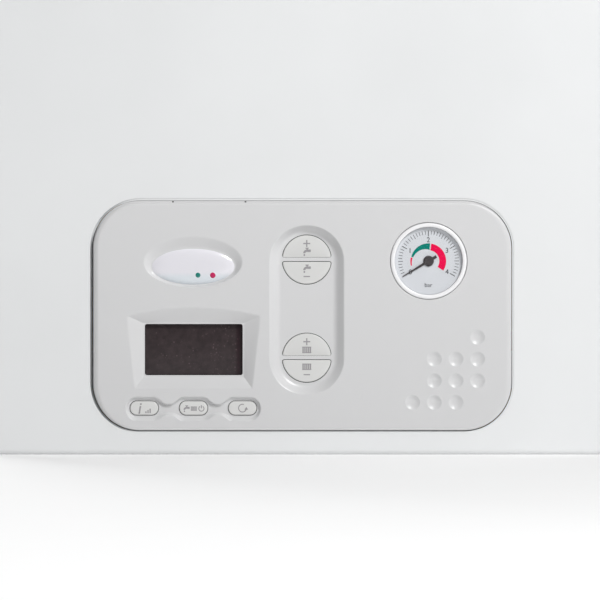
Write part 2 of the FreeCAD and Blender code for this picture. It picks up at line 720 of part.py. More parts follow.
def badge_plate():
    """Bare oval badge, lying on the floor of its recess."""
    floor = FRONT + BADGE_DEPTH
    plate = prism(badge_wire(1, floor - BADGE_THICK), BADGE_THICK)
    front = [e for e in plate.Edges if e.BoundBox.YMax < floor - BADGE_THICK + 1e-6]
    plate = plate.makeFillet(BADGE_THICK / 2, front)
    rim = loft([badge_wire(0, FRONT), badge_wire(1, floor)])
    return plate.common(rim)


def display_window():
    """Dark pane in the display opening."""
    x, z = at_panel(DISPLAY_X, DISPLAY_Z)
    half_w, half_h = DISPLAY_W / 2 - FIT / 2, DISPLAY_H / 2 - FIT / 2
    return box((x - half_w, x + half_w), (FRONT + DISPLAY_DEPTH, PAD_Y), (z - half_h, z + half_h))


def display_module():
    """Liquid-crystal module behind the pane, standing on the control board."""
    x, z = at_panel(DISPLAY_X, DISPLAY_Z)
    half_w, half_h = DISPLAY_W / 2 + FASCIA_WALL, DISPLAY_H / 2 + FASCIA_WALL
    front = PAD_Y + FIT
    slab = box((x - half_w, x + half_w), (front, front + MODULE_T), (z - half_h, z + half_h))
    legs = [box((x + sx * half_w, x + sx * (half_w - BUTTON_STEM_R)), (front, BOARD_Y),
                (z + half_h - BUTTON_STEM_R, z + half_h)) for sx in (-1, 1)]
    return join(slab, *legs)


def box_block(inset, front, rear):
    """The control box's block behind the panel, drawn in by an inset."""
    z = (BOTTOM + PANEL_FOOT + BOX_FOOT + inset, BOTTOM + PANEL_FOOT + BOX_FOOT + BOX_H - inset)
    return box((-BOX_W / 2 + inset, BOX_W / 2 - inset), (front, rear), z)


def control_rear_cover():
    """Box-shaped back cover with a flange on the fascia's skirt, vents and board bosses."""
    join_y = FRONT + FASCIA_SKIRT
    rear = FRONT + BOX_DEPTH
    flange = prism(fascia_outline(FASCIA_WALL / 4, join_y), COVER_WALL)
    cover = join(flange, box_block(0, join_y, rear))
    cover = cover.cut(box_block(COVER_WALL, join_y, rear - COVER_WALL))
    vents = []
    for k in range(VENT_COUNT):
        x = (k - (VENT_COUNT - 1) / 2) * VENT_PITCH
        vents.append(box((x - VENT_W / 2, x + VENT_W / 2), (rear - COVER_WALL, rear),
                         (PANEL_Z + BOX_H / 8, PANEL_Z + BOX_H / 4)))
    bosses = [rod(V(x, BOARD_Y + BOARD_T, z), Y_AXIS, rear - COVER_WALL - BOARD_Y - BOARD_T, BUTTON_STEM_R)
              for x, z in board_corners()]
    return join(cover.cut(vents), *bosses)


def board_corners():
    """The four fixing points of the control board."""
    reach_x = BOX_W / 2 - COVER_WALL - BOARD_MARGIN * 2
    reach_z = BOX_H / 2 - COVER_WALL - BOARD_MARGIN * 2
    middle = BOTTOM + PANEL_FOOT + BOX_FOOT + BOX_H / 2
    return [(sx * reach_x, middle + sz * reach_z) for sx in (-1, 1) for sz in (-1, 1)]


def control_board():
    """Circuit board with switches under the keys, relays, a transformer and connectors."""
    margin = COVER_WALL + BOARD_MARGIN
    board = box_block(margin, BOARD_Y, BOARD_Y + BOARD_T)
    parts = []
    spots = [(CHANNEL_X, z + s * ROUND_BUTTON_R / 2) for z in ROUND_BUTTON_Z for s in (-1, 1)]
    spots += [(x, PILL_Z) for x in PILL_X]
    for x, z in spots:
        parts.append(rod(V(x, BOARD_Y - SWITCH_H, PANEL_Z + z), Y_AXIS, SWITCH_H, BUTTON_STEM_R))
    low = board.BoundBox.ZMin
    rows = [(k * RELAY_PITCH + RELAY_PITCH, PANEL_Z - RELAY[2], RELAY) for k in range(RELAY_COUNT)]
    rows.append((TRANSFORMER_X, PANEL_Z, TRANSFORMER))
    rows.append((SOCKET_X, low + SOCKET_RISE + SOCKET[2] / 2, SOCKET))
    back = BOARD_Y + BOARD_T
    for x, z, (width, depth, height) in rows:
        parts.append(box((x - width / 2, x + width / 2), (back, back + depth), (z - height / 2, z + height / 2)))
    return join(board, *parts)


def gauge_case():
    """Gauge body with a proud round bezel and a capillary boss behind."""
    x, z = at_panel(GAUGE_X, GAUGE_Z)
    centre = V(x, 0, z)
    body = rod(centre + V(0, FRONT, 0), Y_AXIS, GAUGE_CASE_DEPTH, GAUGE_CASE_R)
    bezel = rod(centre + V(0, FRONT - GAUGE_PROUD, 0), Y_AXIS, GAUGE_PROUD, GAUGE_BEZEL_R)
    front = [e for e in bezel.Edges if e.BoundBox.YMax < FRONT - GAUGE_PROUD + 1e-6]
    bezel = bezel.makeFillet(GAUGE_PROUD * 0.45, front)
    boss = rod(centre + V(0, FRONT + GAUGE_CASE_DEPTH, 0), Y_AXIS, NEEDLE_TAIL, NEEDLE_TAIL)
    case = join(body, bezel, boss)
    dish = GAUGE_PROUD + GAUGE_DIAL_DEPTH
    case = case.cut(rod(centre + V(0, FRONT - GAUGE_PROUD, 0), Y_AXIS, dish, GAUGE_DIAL_R))
    shaft = NEEDLE_SHAFT_R + RUN_FIT
    return case.cut(rod(centre + V(0, FRONT, 0), Y_AXIS, GAUGE_CASE_DEPTH * 0.6, shaft))


def gauge_dial():
    """Dial plate on the floor of the gauge case."""
    x, z = at_panel(GAUGE_X, GAUGE_Z)
    front = FRONT + GAUGE_DIAL_DEPTH - GAUGE_DIAL_THICK
    return ring(V(x, front, z), Y_AXIS, GAUGE_DIAL_THICK, GAUGE_DIAL_R - FIT / 3, NEEDLE_SHAFT_R + RUN_FIT)


def gauge_glass():
    """Clear disc held in the bezel."""
    x, z = at_panel(GAUGE_X, GAUGE_Z)
    return rod(V(x, FRONT - GAUGE_PROUD * 0.6, z), Y_AXIS, GAUGE_GLASS_THICK, GAUGE_DIAL_R - FIT / 3)


def gauge_needle():
    """Tapered pointer with a tail, a round hub and the shaft that carries it."""
    y = FRONT + GAUGE_DIAL_DEPTH - GAUGE_DIAL_THICK - FIT - NEEDLE_THICK
    tip = NEEDLE_HALF_W / 3
    outline = [V(-NEEDLE_TAIL, y, NEEDLE_HALF_W), V(-NEEDLE_TAIL, y, -NEEDLE_HALF_W),
               V(NEEDLE_LENGTH, y, -tip), V(NEEDLE_LENGTH, y, tip), V(-NEEDLE_TAIL, y, NEEDLE_HALF_W)]
    pointer = Part.Face(Part.makePolygon(outline)).extrude(V(0, NEEDLE_THICK, 0))
    hub = rod(V(0, y - NEEDLE_THICK, 0), Y_AXIS, 2 * NEEDLE_THICK, NEEDLE_HUB_R)
    shaft = rod(V(0, y, 0), Y_AXIS, GAUGE_CASE_DEPTH / 2, NEEDLE_SHAFT_R)
    needle = join(pointer, hub, shaft)
    needle.rotate(V(0, 0, 0), Y_AXIS, -NEEDLE_REST_DEG)
    needle.translate(V(GAUGE_X, 0, PANEL_Z + GAUGE_Z))
    return needle


# Sealed chamber, burner, exchanger and flue
def chamber_box():
    """Sealed chamber of folded sheet with a turned-in front flange and its pipe and flue openings."""
    low = foot(CHAMBER_LOW)
    x = (-CHAMBER_X, CHAMBER_X)
    shell = box(x, (CHAMBER_FRONT, CHAMBER_BACK), (low, CHAMBER_TOP))
    inner_x = (-CHAMBER_X + SHEET, CHAMBER_X - SHEET)
    shell = shell.cut(box(inner_x, (CHAMBER_FRONT + SHEET, CHAMBER_BACK - SHEET),
                          (low + SHEET, CHAMBER_TOP - SHEET)))
    mouth_x = (-CHAMBER_X + COVER_MARGIN, CHAMBER_X - COVER_MARGIN)
    cuts = [box(mouth_x, (CHAMBER_FRONT, CHAMBER_FRONT + SHEET),
                (low + COVER_MARGIN, CHAMBER_TOP - COVER_MARGIN)),
            rod(V(0, FLUE_Y, CHAMBER_TOP - SHEET), Z_AXIS, SHEET, AIR_R - 2 * FLUE_WALL),
            rod(V(0, MANIFOLD_Y, low), Z_AXIS, SHEET, GAS_PIPE_R + 2 * SEAM),
            rod(V(-PIPE_X, tube_y(TUBE_COUNT - 1), low), Z_AXIS, SHEET, PIPE_R + SEAM),
            rod(V(PIPE_X, tube_y(0), low), Z_AXIS, SHEET, PIPE_R + SEAM)]
    for x_hole, z in cover_screw_spots():
        cuts.append(rod(V(x_hole, CHAMBER_FRONT, z), Y_AXIS, SHEET, SCREW_R))
    return shell.cut(cuts)


def cover_screw_spots():
    """Screw places round the chamber cover, as X and Z."""
    reach = CHAMBER_X - COVER_MARGIN / 2
    low, high = foot(CHAMBER_LOW) + COVER_MARGIN / 2, CHAMBER_TOP - COVER_MARGIN / 2
    return [(x, z) for x in (-reach, 0, reach) for z in (low, high)]


def chamber_cover():
    """Front cover of the chamber with a sight hole."""
    y = (CHAMBER_FRONT - SHEET, CHAMBER_FRONT)
    plate = box((-CHAMBER_X, CHAMBER_X), y, (foot(CHAMBER_LOW), CHAMBER_TOP))
    cuts = [rod(V(0, y[0], sight_z()), Y_AXIS, SHEET, SIGHT_R)]
    for x, z in cover_screw_spots():
        cuts.append(rod(V(x, y[0], z), Y_AXIS, SHEET, SCREW_R))
    return plate.cut(cuts)


def sight_z():
    """Height of the sight hole, level with the flame."""
    return COMBUSTION_Z + COMBUSTION_H / 3


def sight_glass():
    """Round glass pressed on the sight hole."""
    y = CHAMBER_FRONT - SHEET
    disc = rod(V(0, y - FRAME_SHEET, sight_z()), Y_AXIS, FRAME_SHEET, SIGHT_R * 1.25)
    return join(disc, rod(V(0, y, sight_z()), Y_AXIS, SHEET, SIGHT_R - FIT))


def frame_screws():
    """Pan-head screws of the flue flange and the chamber cover."""
    screws = []
    for spot in flue_bolts():
        seat = spot + V(0, 0, 2 * SHEET)
        head = rod(seat, Z_AXIS, SCREW_HEAD_H, SCREW_HEAD_R)
        screws.append(join(head, rod(seat, -Z_AXIS, 3 * SHEET, SCREW_R)))
    for x, z in cover_screw_spots():
        seat = V(x, CHAMBER_FRONT - SHEET, z)
        head = rod(seat, -Y_AXIS, SCREW_HEAD_H, SCREW_HEAD_R)
        screws.append(join(head, rod(seat, Y_AXIS, 2 * SHEET, SCREW_R)))
    return Part.makeCompound(screws)


def stack_block(inset, low, high):
    """The block of the burner, exchanger and hood stack between two heights, drawn in by an inset."""
    x = (-STACK_W / 2 + inset, STACK_W / 2 - inset)
    return box(x, (STACK_FRONT + inset, STACK_BACK - inset), (low, high))


def burner():
    """Atmospheric burner: two end plates, two rails and a row of slotted ramps."""
    low, top = foot(BURNER_LOW), foot(BURNER_LOW + BURNER_H)
    floor = foot(CHAMBER_LOW) + SHEET
    half = STACK_W / 2
    pieces = []
    for side in (-1, 1):
        pieces.append(box((side * half, side * (half - 2 * FRAME_SHEET)), (STACK_FRONT, STACK_BACK), (floor, top)))
    for y in (STACK_FRONT, STACK_BACK - 2 * FRAME_SHEET):
        pieces.append(box((-half, half), (y, y + 2 * FRAME_SHEET), (low, top)))
    pitch = (STACK_W - 6 * FRAME_SHEET) / BURNER_RAMPS
    slots = []
    for k in range(BURNER_RAMPS):
        x = (k - (BURNER_RAMPS - 1) / 2) * pitch
        ramp = box((x - pitch * 0.25, x + pitch * 0.25), (STACK_FRONT, STACK_BACK), (low, top - 2 * FRAME_SHEET))
        pieces.append(ramp)
        slots.append(box((x - SHEET, x + SHEET), (STACK_FRONT + FLANGE, STACK_BACK - FLANGE),
                         (top - BURNER_H / 3, top)))
    return join(*pieces).cut(slots)


def gas_manifold():
    """Gas rail on the chamber floor with one nozzle under each ramp and a feed socket."""
    axis_z = foot(CHAMBER_LOW) + SHEET + MANIFOLD_R
    half = STACK_W / 2 - 6 * FRAME_SHEET
    rail = rod(V(-half, MANIFOLD_Y, axis_z), X_AXIS, 2 * half, MANIFOLD_R)
    socket = rod(V(0, MANIFOLD_Y, foot(CHAMBER_LOW) + FIT), Z_AXIS, MANIFOLD_R, GAS_PIPE_R + SEAM)
    nozzles = []
    pitch = (STACK_W - 6 * FRAME_SHEET) / BURNER_RAMPS
    for k in range(BURNER_RAMPS):
        x = (k - (BURNER_RAMPS - 1) / 2) * pitch
        nozzles.append(rod(V(x, MANIFOLD_Y, axis_z), Z_AXIS, MANIFOLD_R + SHEET - FIT, 2 * SHEET))
    return join(rail, socket, *nozzles)


def combustion_box():
    """Sheet box round the flame, open above and below, with holes for the electrodes."""
    top = COMBUSTION_Z + COMBUSTION_H
    shell = stack_block(0, COMBUSTION_Z, top).cut(stack_block(SHEET, COMBUSTION_Z, top))
    return shell.cut(electrode_holes())


def insulation_panels():
    """Four ceramic boards lining the combustion box."""
    top = COMBUSTION_Z + COMBUSTION_H
    lining = stack_block(SHEET, COMBUSTION_Z, top).cut(stack_block(SHEET + INSULATION, COMBUSTION_Z, top))
    return lining.cut(electrode_holes())


def electrode_spots():
    """Places of the two igniters and the flame sensor, as X and Z."""
    z = COMBUSTION_Z + INSULATION
    return [(x, z) for x in (-2.0 * INSULATION, 0.0, 4.0 * INSULATION)]


def electrode_holes():
    """Clear holes for the electrodes through the front wall and its lining."""
    depth = SHEET + INSULATION
    return [rod(V(x, STACK_FRONT, z), Y_AXIS, depth, SHAFT_R + FIT) for x, z in electrode_spots()]


def electrodes():
    """Three ceramic electrodes with bent tips on one bracket."""
    spots = electrode_spots()
    z = spots[0][1]
    bracket = box((spots[0][0] - INSULATION, spots[-1][0] + INSULATION), (STACK_FRONT - FRAME_SHEET, STACK_FRONT),
                  (z - INSULATION / 2, z + INSULATION / 2))
    pieces = []
    for x, _ in spots:
        start = V(x, STACK_FRONT - INSULATION * 0.8, z)
        pieces.append(rod(start, Y_AXIS, INSULATION * 2.2, SHAFT_R))
        tip = start + V(0, INSULATION * 2, 0)
        pieces.append(rod(tip, Y_AXIS, INSULATION * 1.5, SHEET))
    return join(bracket, *pieces)


def tube_y(k):
    """Depth of one exchanger tube."""
    return STACK_Y + (k - (TUBE_COUNT - 1) / 2) * TUBE_PITCH


def heat_exchanger():
    """Frame and tubes of the primary exchanger, the tubes joined in series by return bends."""
    top = EXCHANGER_Z + EXCHANGER_H
    frame = stack_block(0, EXCHANGER_Z, top).cut(stack_block(SHEET, EXCHANGER_Z, top))
    pieces = []
    for k in range(TUBE_COUNT):
        pieces.append(rod(V(-TUBE_END, tube_y(k), TUBE_Z), X_AXIS, 2 * TUBE_END, TUBE_R))
    for k in range(TUBE_COUNT - 1):
        side = -1 if k % 2 == 0 else 1
        middle = (tube_y(k) + tube_y(k + 1)) / 2
        section = Part.Wire(Part.makeCircle(TUBE_R, V(side * TUBE_END, tube_y(k), TUBE_Z), X_AXIS))
        pieces.append(Part.Face(section).revolve(V(side * TUBE_END, middle, TUBE_Z), Z_AXIS, 180 * side))
    return join(frame, *pieces)


def exchanger_fins():
    """Stack of thin copper fins on the tubes."""
    span = STACK_W - 4 * INSULATION / 2
    holes = [rod(V(-TUBE_END, tube_y(k), TUBE_Z), X_AXIS, 2 * TUBE_END, TUBE_R) for k in range(TUBE_COUNT)]
    fins = []
    for k in range(FIN_COUNT):
        x = (k / (FIN_COUNT - 1) - 0.5) * span
        fin = box((x - FIN_T / 2, x + FIN_T / 2), (STACK_FRONT + 2 * SHEET, STACK_BACK - 2 * SHEET),
                  (EXCHANGER_Z + EXCHANGER_H * 0.1, EXCHANGER_Z + EXCHANGER_H * 0.9))
        fins.append(fin.cut(holes))
    return Part.makeCompound(fins)


def level_rect(half_x, y, z):
    """A level rectangle, even about X = 0."""
    corners = [V(-half_x, y[0], z), V(half_x, y[0], z), V(half_x, y[1], z), V(-half_x, y[1], z)]
    return Part.makePolygon(corners + corners[:1])


def flue_hood():
    """Hood that gathers the flue gas into a rear duct with a round port to the fan."""
    top = HOOD_Z + HOOD_H
    duct_top = FAN_CENTRE_Z + FAN_R * 0.7
    half, neck = STACK_W / 2, FAN_R * 1.1

    def body(inset):
        y = (STACK_FRONT + inset, STACK_BACK - inset)
        y_duct = (HOOD_FRONT + inset, STACK_BACK - inset)
        cone = loft([level_rect(half - inset, y, HOOD_Z), level_rect(neck - inset, y_duct, top)])
        duct = box((-neck + inset, neck - inset), y_duct, (top, duct_top - inset))
        return join(cone, duct)

    port = rod(V(FAN_X, HOOD_FRONT, FAN_CENTRE_Z), Y_AXIS, SHEET, FAN_R / 2)
    return body(0).cut([body(SHEET), port])


def fan_room(inset):
    """The fan's scroll and upright outlet, drawn in by an inset."""
    scroll = rod(V(FAN_X, FAN_FRONT + inset, FAN_CENTRE_Z), Y_AXIS, FAN_DEPTH - 2 * inset, FAN_R - inset)
    top = FLUE_FOOT - FIT - 2 * FAN_WALL - inset
    duct = box((-FAN_R / 2 + inset, FAN_R / 2 - inset), (FAN_FRONT + inset, FAN_BACK - inset), (FAN_CENTRE_Z, top))
    return join(scroll, duct)


def fan_housing():
    """Fan scroll with an inlet behind, a shaft hole in front and a round flange under the flue socket."""
    top = FLUE_FOOT - FIT - 2 * FAN_WALL
    flange = rod(V(0, FLUE_Y, top), Z_AXIS, 2 * FAN_WALL, FLUE_R + FLUE_WALL)
    shell = join(fan_room(0), flange)
    outlet = rod(V(0, FLUE_Y, top - 2 * FAN_WALL), Z_AXIS, 4 * FAN_WALL, FAN_DEPTH / 2 - 2 * FAN_WALL)
    inlet = rod(V(FAN_X, FAN_BACK - FAN_WALL, FAN_CENTRE_Z), Y_AXIS, FAN_WALL, FAN_R / 2)
    shaft = rod(V(FAN_X, FAN_FRONT, FAN_CENTRE_Z), Y_AXIS, FAN_WALL, SHAFT_R + SEAM)
    return shell.cut([fan_room(FAN_WALL), outlet, inlet, shaft])


def fan_impeller():
    """Bladed wheel on a shaft that runs in the fan motor."""
    front = FAN_FRONT + FAN_WALL + 2 * SEAM
    depth = FAN_DEPTH - 2 * FAN_WALL - 4 * SEAM
    centre = V(FAN_X, front, FAN_CENTRE_Z)
    disc = rod(centre, Y_AXIS, FAN_WALL, IMPELLER_R)
    hub = rod(centre, Y_AXIS, depth / 2, SHAFT_R * 3)
    shaft = rod(centre, -Y_AXIS, FAN_MOTOR_L * 0.6, SHAFT_R)
    pieces = [hub, shaft]
    for k in range(IMPELLER_BLADES):
        blade = box((IMPELLER_R * 0.62, IMPELLER_R), (front, front + depth), (-FAN_WALL / 2, FAN_WALL / 2))
        blade.rotate(V(IMPELLER_R * 0.8, 0, 0), Y_AXIS, 25)
        blade.rotate(V(0, 0, 0), Y_AXIS, 360.0 * k / IMPELLER_BLADES)
        blade.translate(V(FAN_X, 0, FAN_CENTRE_Z))
        pieces.append(blade)
    return join(disc, *pieces)


def fan_motor():
    """Round motor on the fan's front."""
    start = V(FAN_X, FAN_FRONT, FAN_CENTRE_Z)
    body = rod(start, -Y_AXIS, FAN_MOTOR_L, FAN_MOTOR_R)
    front = [e for e in body.Edges if e.BoundBox.YMax < FAN_FRONT - FAN_MOTOR_L + 1e-6]
    body = body.makeFillet(FAN_MOTOR_R / 6, front)
    return body.cut(rod(start, -Y_AXIS, FAN_MOTOR_L * 0.7, SHAFT_R + RUN_FIT))


def flue_collar():
    """Concentric flue connection: flange, outer air ring, inner flue socket and three webs."""
    base = V(0, FLUE_Y, TOP)
    flange = ring(base, Z_AXIS, 2 * SHEET, FLUE_FLANGE_R, AIR_R - FLUE_WALL)
    air = ring(base, Z_AXIS, AIR_H, AIR_R, AIR_R - FLUE_WALL)
    socket = ring(V(0, FLUE_Y, FLUE_FOOT), Z_AXIS, FLUE_SOCKET, FLUE_R + FLUE_WALL, FLUE_R)
    webs = []
    for turn in (90, 210, 330):
        web = box((FLUE_R + FLUE_WALL / 2, AIR_R - FLUE_WALL / 2), (-FLUE_WALL / 2, FLUE_WALL / 2), (0, AIR_H / 2))
        web.rotate(V(0, 0, 0), Z_AXIS, turn)
        web.translate(base)
        webs.append(web)
    collar = join(flange, air, socket, *webs)
    return collar.cut([rod(spot, Z_AXIS, 2 * SHEET, SCREW_R) for spot in flue_bolts()])


def air_switch():
    """Round differential-pressure switch on the chamber's wall, with two hose nipples."""
    start = V(CHAMBER_X - SHEET, STACK_Y, FAN_CENTRE_Z)
    body = rod(start, -X_AXIS, AIR_SWITCH_L, AIR_SWITCH_R)
    nipples = [rod(start + V(-AIR_SWITCH_L, 0, s * AIR_SWITCH_R / 2), -X_AXIS, AIR_SWITCH_L / 2, SHAFT_R)
               for s in (-1, 1)]
    return join(body, *nipples)


# Water and gas side
def expansion_vessel():
    """Flat round pressure vessel on the frame's ribs, with a stub at its foot."""
    middle = V(0, -FRAME_SHEET - RIB_DEPTH - VESSEL_DEPTH / 2, foot(VESSEL_Z))

    def drum(inset):
        depth = VESSEL_DEPTH - 2 * inset
        body = rod(middle - V(0, depth / 2, 0), Y_AXIS, depth, VESSEL_R - inset)
        rims = [e for e in body.Edges if e.BoundBox.YLength < 1e-6]
        return body.makeFillet(VESSEL_DEPTH / 4 - inset, rims)

    stub = rod(middle - V(0, 0, VESSEL_R + VESSEL_DEPTH / 2), Z_AXIS, VESSEL_DEPTH, GAS_PIPE_R)
    return join(drum(0), stub).cut(drum(FRAME_SHEET))


def connection(x, thread_r, body_r, top):
    """One connection: hollow thread, body up to a height and a collar resting on the tray."""
    low = foot(CONNECTION_END)
    thread = rod(V(x, CONNECTION_Y, low), Z_AXIS, THREAD_L, thread_r)
    body = rod(V(x, CONNECTION_Y, low + THREAD_L), Z_AXIS, foot(top) - low - THREAD_L, body_r)
    collar = hexagon(V(x, CONNECTION_Y, TRAY_Z + SHEET), TRAY_RISE * 0.15, COLLAR_R)
    bore = rod(V(x, CONNECTION_Y, low), Z_AXIS, 2 * THREAD_L, thread_r * 0.75)
    return join(thread, body, collar).cut(bore)


def branch(x_from, x_to):
    """Cross branch between two connections and the stub of the second to the plate exchanger."""
    z = foot(BRANCH_Z)
    ends = sorted((x_from, x_to))
    cross = rod(V(ends[0], CONNECTION_Y, z), X_AXIS, ends[1] - ends[0], BRANCH_R)
    reach = PLATE_EX_BACK - PLATE_EX_DEPTH - CONNECTION_Y
    stub = rod(V(x_to, CONNECTION_Y, z), Y_AXIS, reach, BRANCH_R * 0.8)
    return join(cross, stub)


def flow_group():
    """Left brass group: heating flow and hot-water outlet."""
    return join(connection(CONNECTION_X[0], THREAD_LARGE_R, GROUP_R, FLOW_GROUP_TOP),
                connection(CONNECTION_X[1], THREAD_SMALL_R, GROUP_R * 0.8, BRANCH_Z + GROUP_R),
                branch(CONNECTION_X[0], CONNECTION_X[1]))


def return_group():
    """Right brass group: cold inlet, heating return and the stub of the filling tap."""
    tap = rod(V(TAP_X, CONNECTION_Y, foot(TAP_STUB_END)), Z_AXIS, BRANCH_Z - TAP_STUB_END, TAP_STUB_R)
    group = join(connection(CONNECTION_X[4], THREAD_LARGE_R, GROUP_R, RETURN_GROUP_TOP),
                 connection(CONNECTION_X[3], THREAD_SMALL_R, GROUP_R * 0.8, BRANCH_Z + GROUP_R),
                 branch(CONNECTION_X[4], CONNECTION_X[3]), tap)
    return group


def filling_tap_knob():
    """Fluted knob that turns on the filling stub under the tray."""
    low = foot(TAP_STUB_END) - TAP_KNOB_L / 3
    start = V(TAP_X, CONNECTION_Y, low)
    knob = rod(start, Z_AXIS, TAP_KNOB_L, TAP_KNOB_R)
    cuts = [rod(V(TAP_X, CONNECTION_Y, foot(TAP_STUB_END) - FIT), Z_AXIS, TAP_KNOB_L, TAP_STUB_R + RUN_FIT)]
    for k in range(8):
        turn = math.radians(45 * k)
        flute = V(math.cos(turn), math.sin(turn), 0) * (TAP_KNOB_R + SEAM)
        cuts.append(rod(start + flute, Z_AXIS, TAP_KNOB_L, 2 * SEAM))
    return knob.cut(cuts)


def safety_front():
    """Depth of the safety valve's front face."""
    return CONNECTION_Y - GROUP_R - SAFETY_R * 2


def safety_valve(group):
    """Brass safety valve on the heating return, cut to sit on its body."""
    x, z = CONNECTION_X[4], foot(SAFETY_Z)
    body = rod(V(x, safety_front(), z), Y_AXIS, CONNECTION_Y - safety_front(), SAFETY_R)
    bore = rod(V(x, safety_front(), z), Y_AXIS, SAFETY_R, SAFETY_R / 3 + RUN_FIT)
    return body.cut([group, bore])


def safety_valve_knob():
    """Fluted knob with a stem that turns in the safety valve."""
    x, z = CONNECTION_X[4], foot(SAFETY_Z)
    start = V(x, safety_front() - FIT, z)
    knob = rod(start, -Y_AXIS, SAFETY_KNOB_L, SAFETY_KNOB_R)
    front = [e for e in knob.Edges if e.BoundBox.YMax < safety_front() - FIT - SAFETY_KNOB_L + 1e-6]
    knob = knob.makeFillet(2 * SEAM, front)
    flutes = []
    for k in range(6):
        turn = math.radians(60 * k)
        spot = V(math.cos(turn), 0, math.sin(turn)) * (SAFETY_KNOB_R + 2 * SEAM)
        flutes.append(rod(start + spot, -Y_AXIS, SAFETY_KNOB_L, 4 * SEAM))
    stem = rod(start, Y_AXIS, SAFETY_R * 0.9, SAFETY_R / 3)
    return join(knob.cut(flutes), stem)


def diverter_actuator(group):
    """Motor head of the diverter valve on the flow group's front."""
    x, z = CONNECTION_X[0], foot(FLOW_GROUP_TOP - 2 * GROUP_R)
    neck = rod(V(x, CONNECTION_Y - 3 * GROUP_R, z), Y_AXIS, 3 * GROUP_R, GROUP_R * 0.8)
    y = CONNECTION_Y - 2 * GROUP_R
    head = box((x - GROUP_R * 1.4, x + GROUP_R * 1.4), (y - 2 * GROUP_R, y), (z - GROUP_R, z + GROUP_R * 1.6))
    return join(head, neck).cut(group)


def plate_exchanger():
    """Brazed plate exchanger for hot water, a stack of flanged plates."""
    half_w, half_h = PLATE_EX_W / 2, PLATE_EX_H / 2
    front = PLATE_EX_BACK - PLATE_EX_DEPTH
    z = foot(BRANCH_Z)
    lip = 2 * SEAM
    core = box((-half_w + lip, half_w - lip), (front, PLATE_EX_BACK), (z - half_h + lip, z + half_h - lip))
    pitch = PLATE_EX_DEPTH / 8
    plates = [box((-half_w, half_w), (front + k * pitch, front + (k + 0.5) * pitch), (z - half_h, z + half_h))
              for k in range(8)]
    return join(core, *plates)


def pump_top():
    """Height of the pump's outlet end."""
    return PUMP_CENTRE_Z + PUMP_R + FLANGE


def pump_body():
    """Pump casing with an inlet below and an outlet above."""
    x = CONNECTION_X[4]
    scroll = rod(V(x, CONNECTION_Y - PUMP_DEPTH / 2, PUMP_CENTRE_Z), Y_AXIS, PUMP_DEPTH, PUMP_R)
    low = foot(RETURN_GROUP_TOP)
    neck = rod(V(x, CONNECTION_Y, low), Z_AXIS, pump_top() - low, GROUP_R * 0.8)
    nut = hexagon(V(x, CONNECTION_Y, low), FLANGE, GROUP_R + SEAM)
    return join(scroll, neck, nut)


def pump_motor():
    """Wet-rotor motor on the pump's front."""
    start = V(CONNECTION_X[4], CONNECTION_Y - PUMP_DEPTH / 2, PUMP_CENTRE_Z)
    body = rod(start, -Y_AXIS, PUMP_MOTOR_L, PUMP_MOTOR_R)
    front = [e for e in body.Edges if e.BoundBox.YMax < start.y - PUMP_MOTOR_L + 1e-6]
    body = body.makeFillet(PUMP_MOTOR_R / 6, front)
    vent = rod(start + V(0, -PUMP_MOTOR_L - SEAM, 0), Y_AXIS, 2 * SEAM, GROUP_R)
    return join(body, vent)


def air_vent(pump):
    """Automatic air vent on the pump's shoulder."""
    start = V(CONNECTION_X[4] - PUMP_R * 0.75, CONNECTION_Y, PUMP_CENTRE_Z)
    body = rod(start, Z_AXIS, PUMP_R + 2 * FLANGE, SAFETY_R)
    cap = rod(start + V(0, 0, PUMP_R + 2 * FLANGE), Z_AXIS, FLANGE / 2, SAFETY_R / 2)
    return join(body, cap).cut(pump)


def gas_inlet_pipe():
    """Gas connection straight up into the gas valve."""
    return connection(CONNECTION_X[2], THREAD_LARGE_R, GROUP_R * 0.8, GAS_VALVE_LOW)


def gas_valve():
    """Gas valve block with two solenoid heads and a regulator cap."""
    low, half = foot(GAS_VALVE_LOW), GAS_VALVE_W / 2
    front = CONNECTION_Y - GAS_VALVE_DEPTH / 2
    block = box((-half, half), (front, front + GAS_VALVE_DEPTH), (low, low + GAS_VALVE_H))
    heads = [rod(V(s * half / 2, front, low + GAS_VALVE_H * 0.65), -Y_AXIS, GAS_VALVE_H / 3, half * 0.4)
             for s in (-1, 1)]
    cap = rod(V(0, front, low + GAS_VALVE_H * 0.25), -Y_AXIS, GAS_VALVE_H / 5, half * 0.35)
    return join(block, cap, *heads)


def gas_feed_pipe():
    """Pipe from the gas valve up and forward to the manifold's socket."""
    start = V(0, CONNECTION_Y, foot(GAS_VALVE_LOW + GAS_VALVE_H))
    turn = start.z + 3 * PIPE_BEND
    end = V(0, MANIFOLD_Y, foot(CHAMBER_LOW))
    points = [start, V(0, CONNECTION_Y, turn), V(0, MANIFOLD_Y, turn), end]
    return bent_pipe(points, PIPE_BEND, GAS_PIPE_R, GAS_PIPE_R - PIPE_WALL)


def flow_pipe():
    """Copper pipe from the exchanger's outlet down to the flow group."""
    y = tube_y(TUBE_COUNT - 1)
    turn = foot(CHAMBER_LOW) - 3 * PIPE_BEND
    points = [V(-TUBE_END, y, TUBE_Z), V(-PIPE_X, y, TUBE_Z), V(-PIPE_X, y, turn),
              V(CONNECTION_X[0], CONNECTION_Y, turn), V(CONNECTION_X[0], CONNECTION_Y, foot(FLOW_GROUP_TOP))]
    return bent_pipe(points, PIPE_BEND, PIPE_R, PIPE_R - PIPE_WALL)


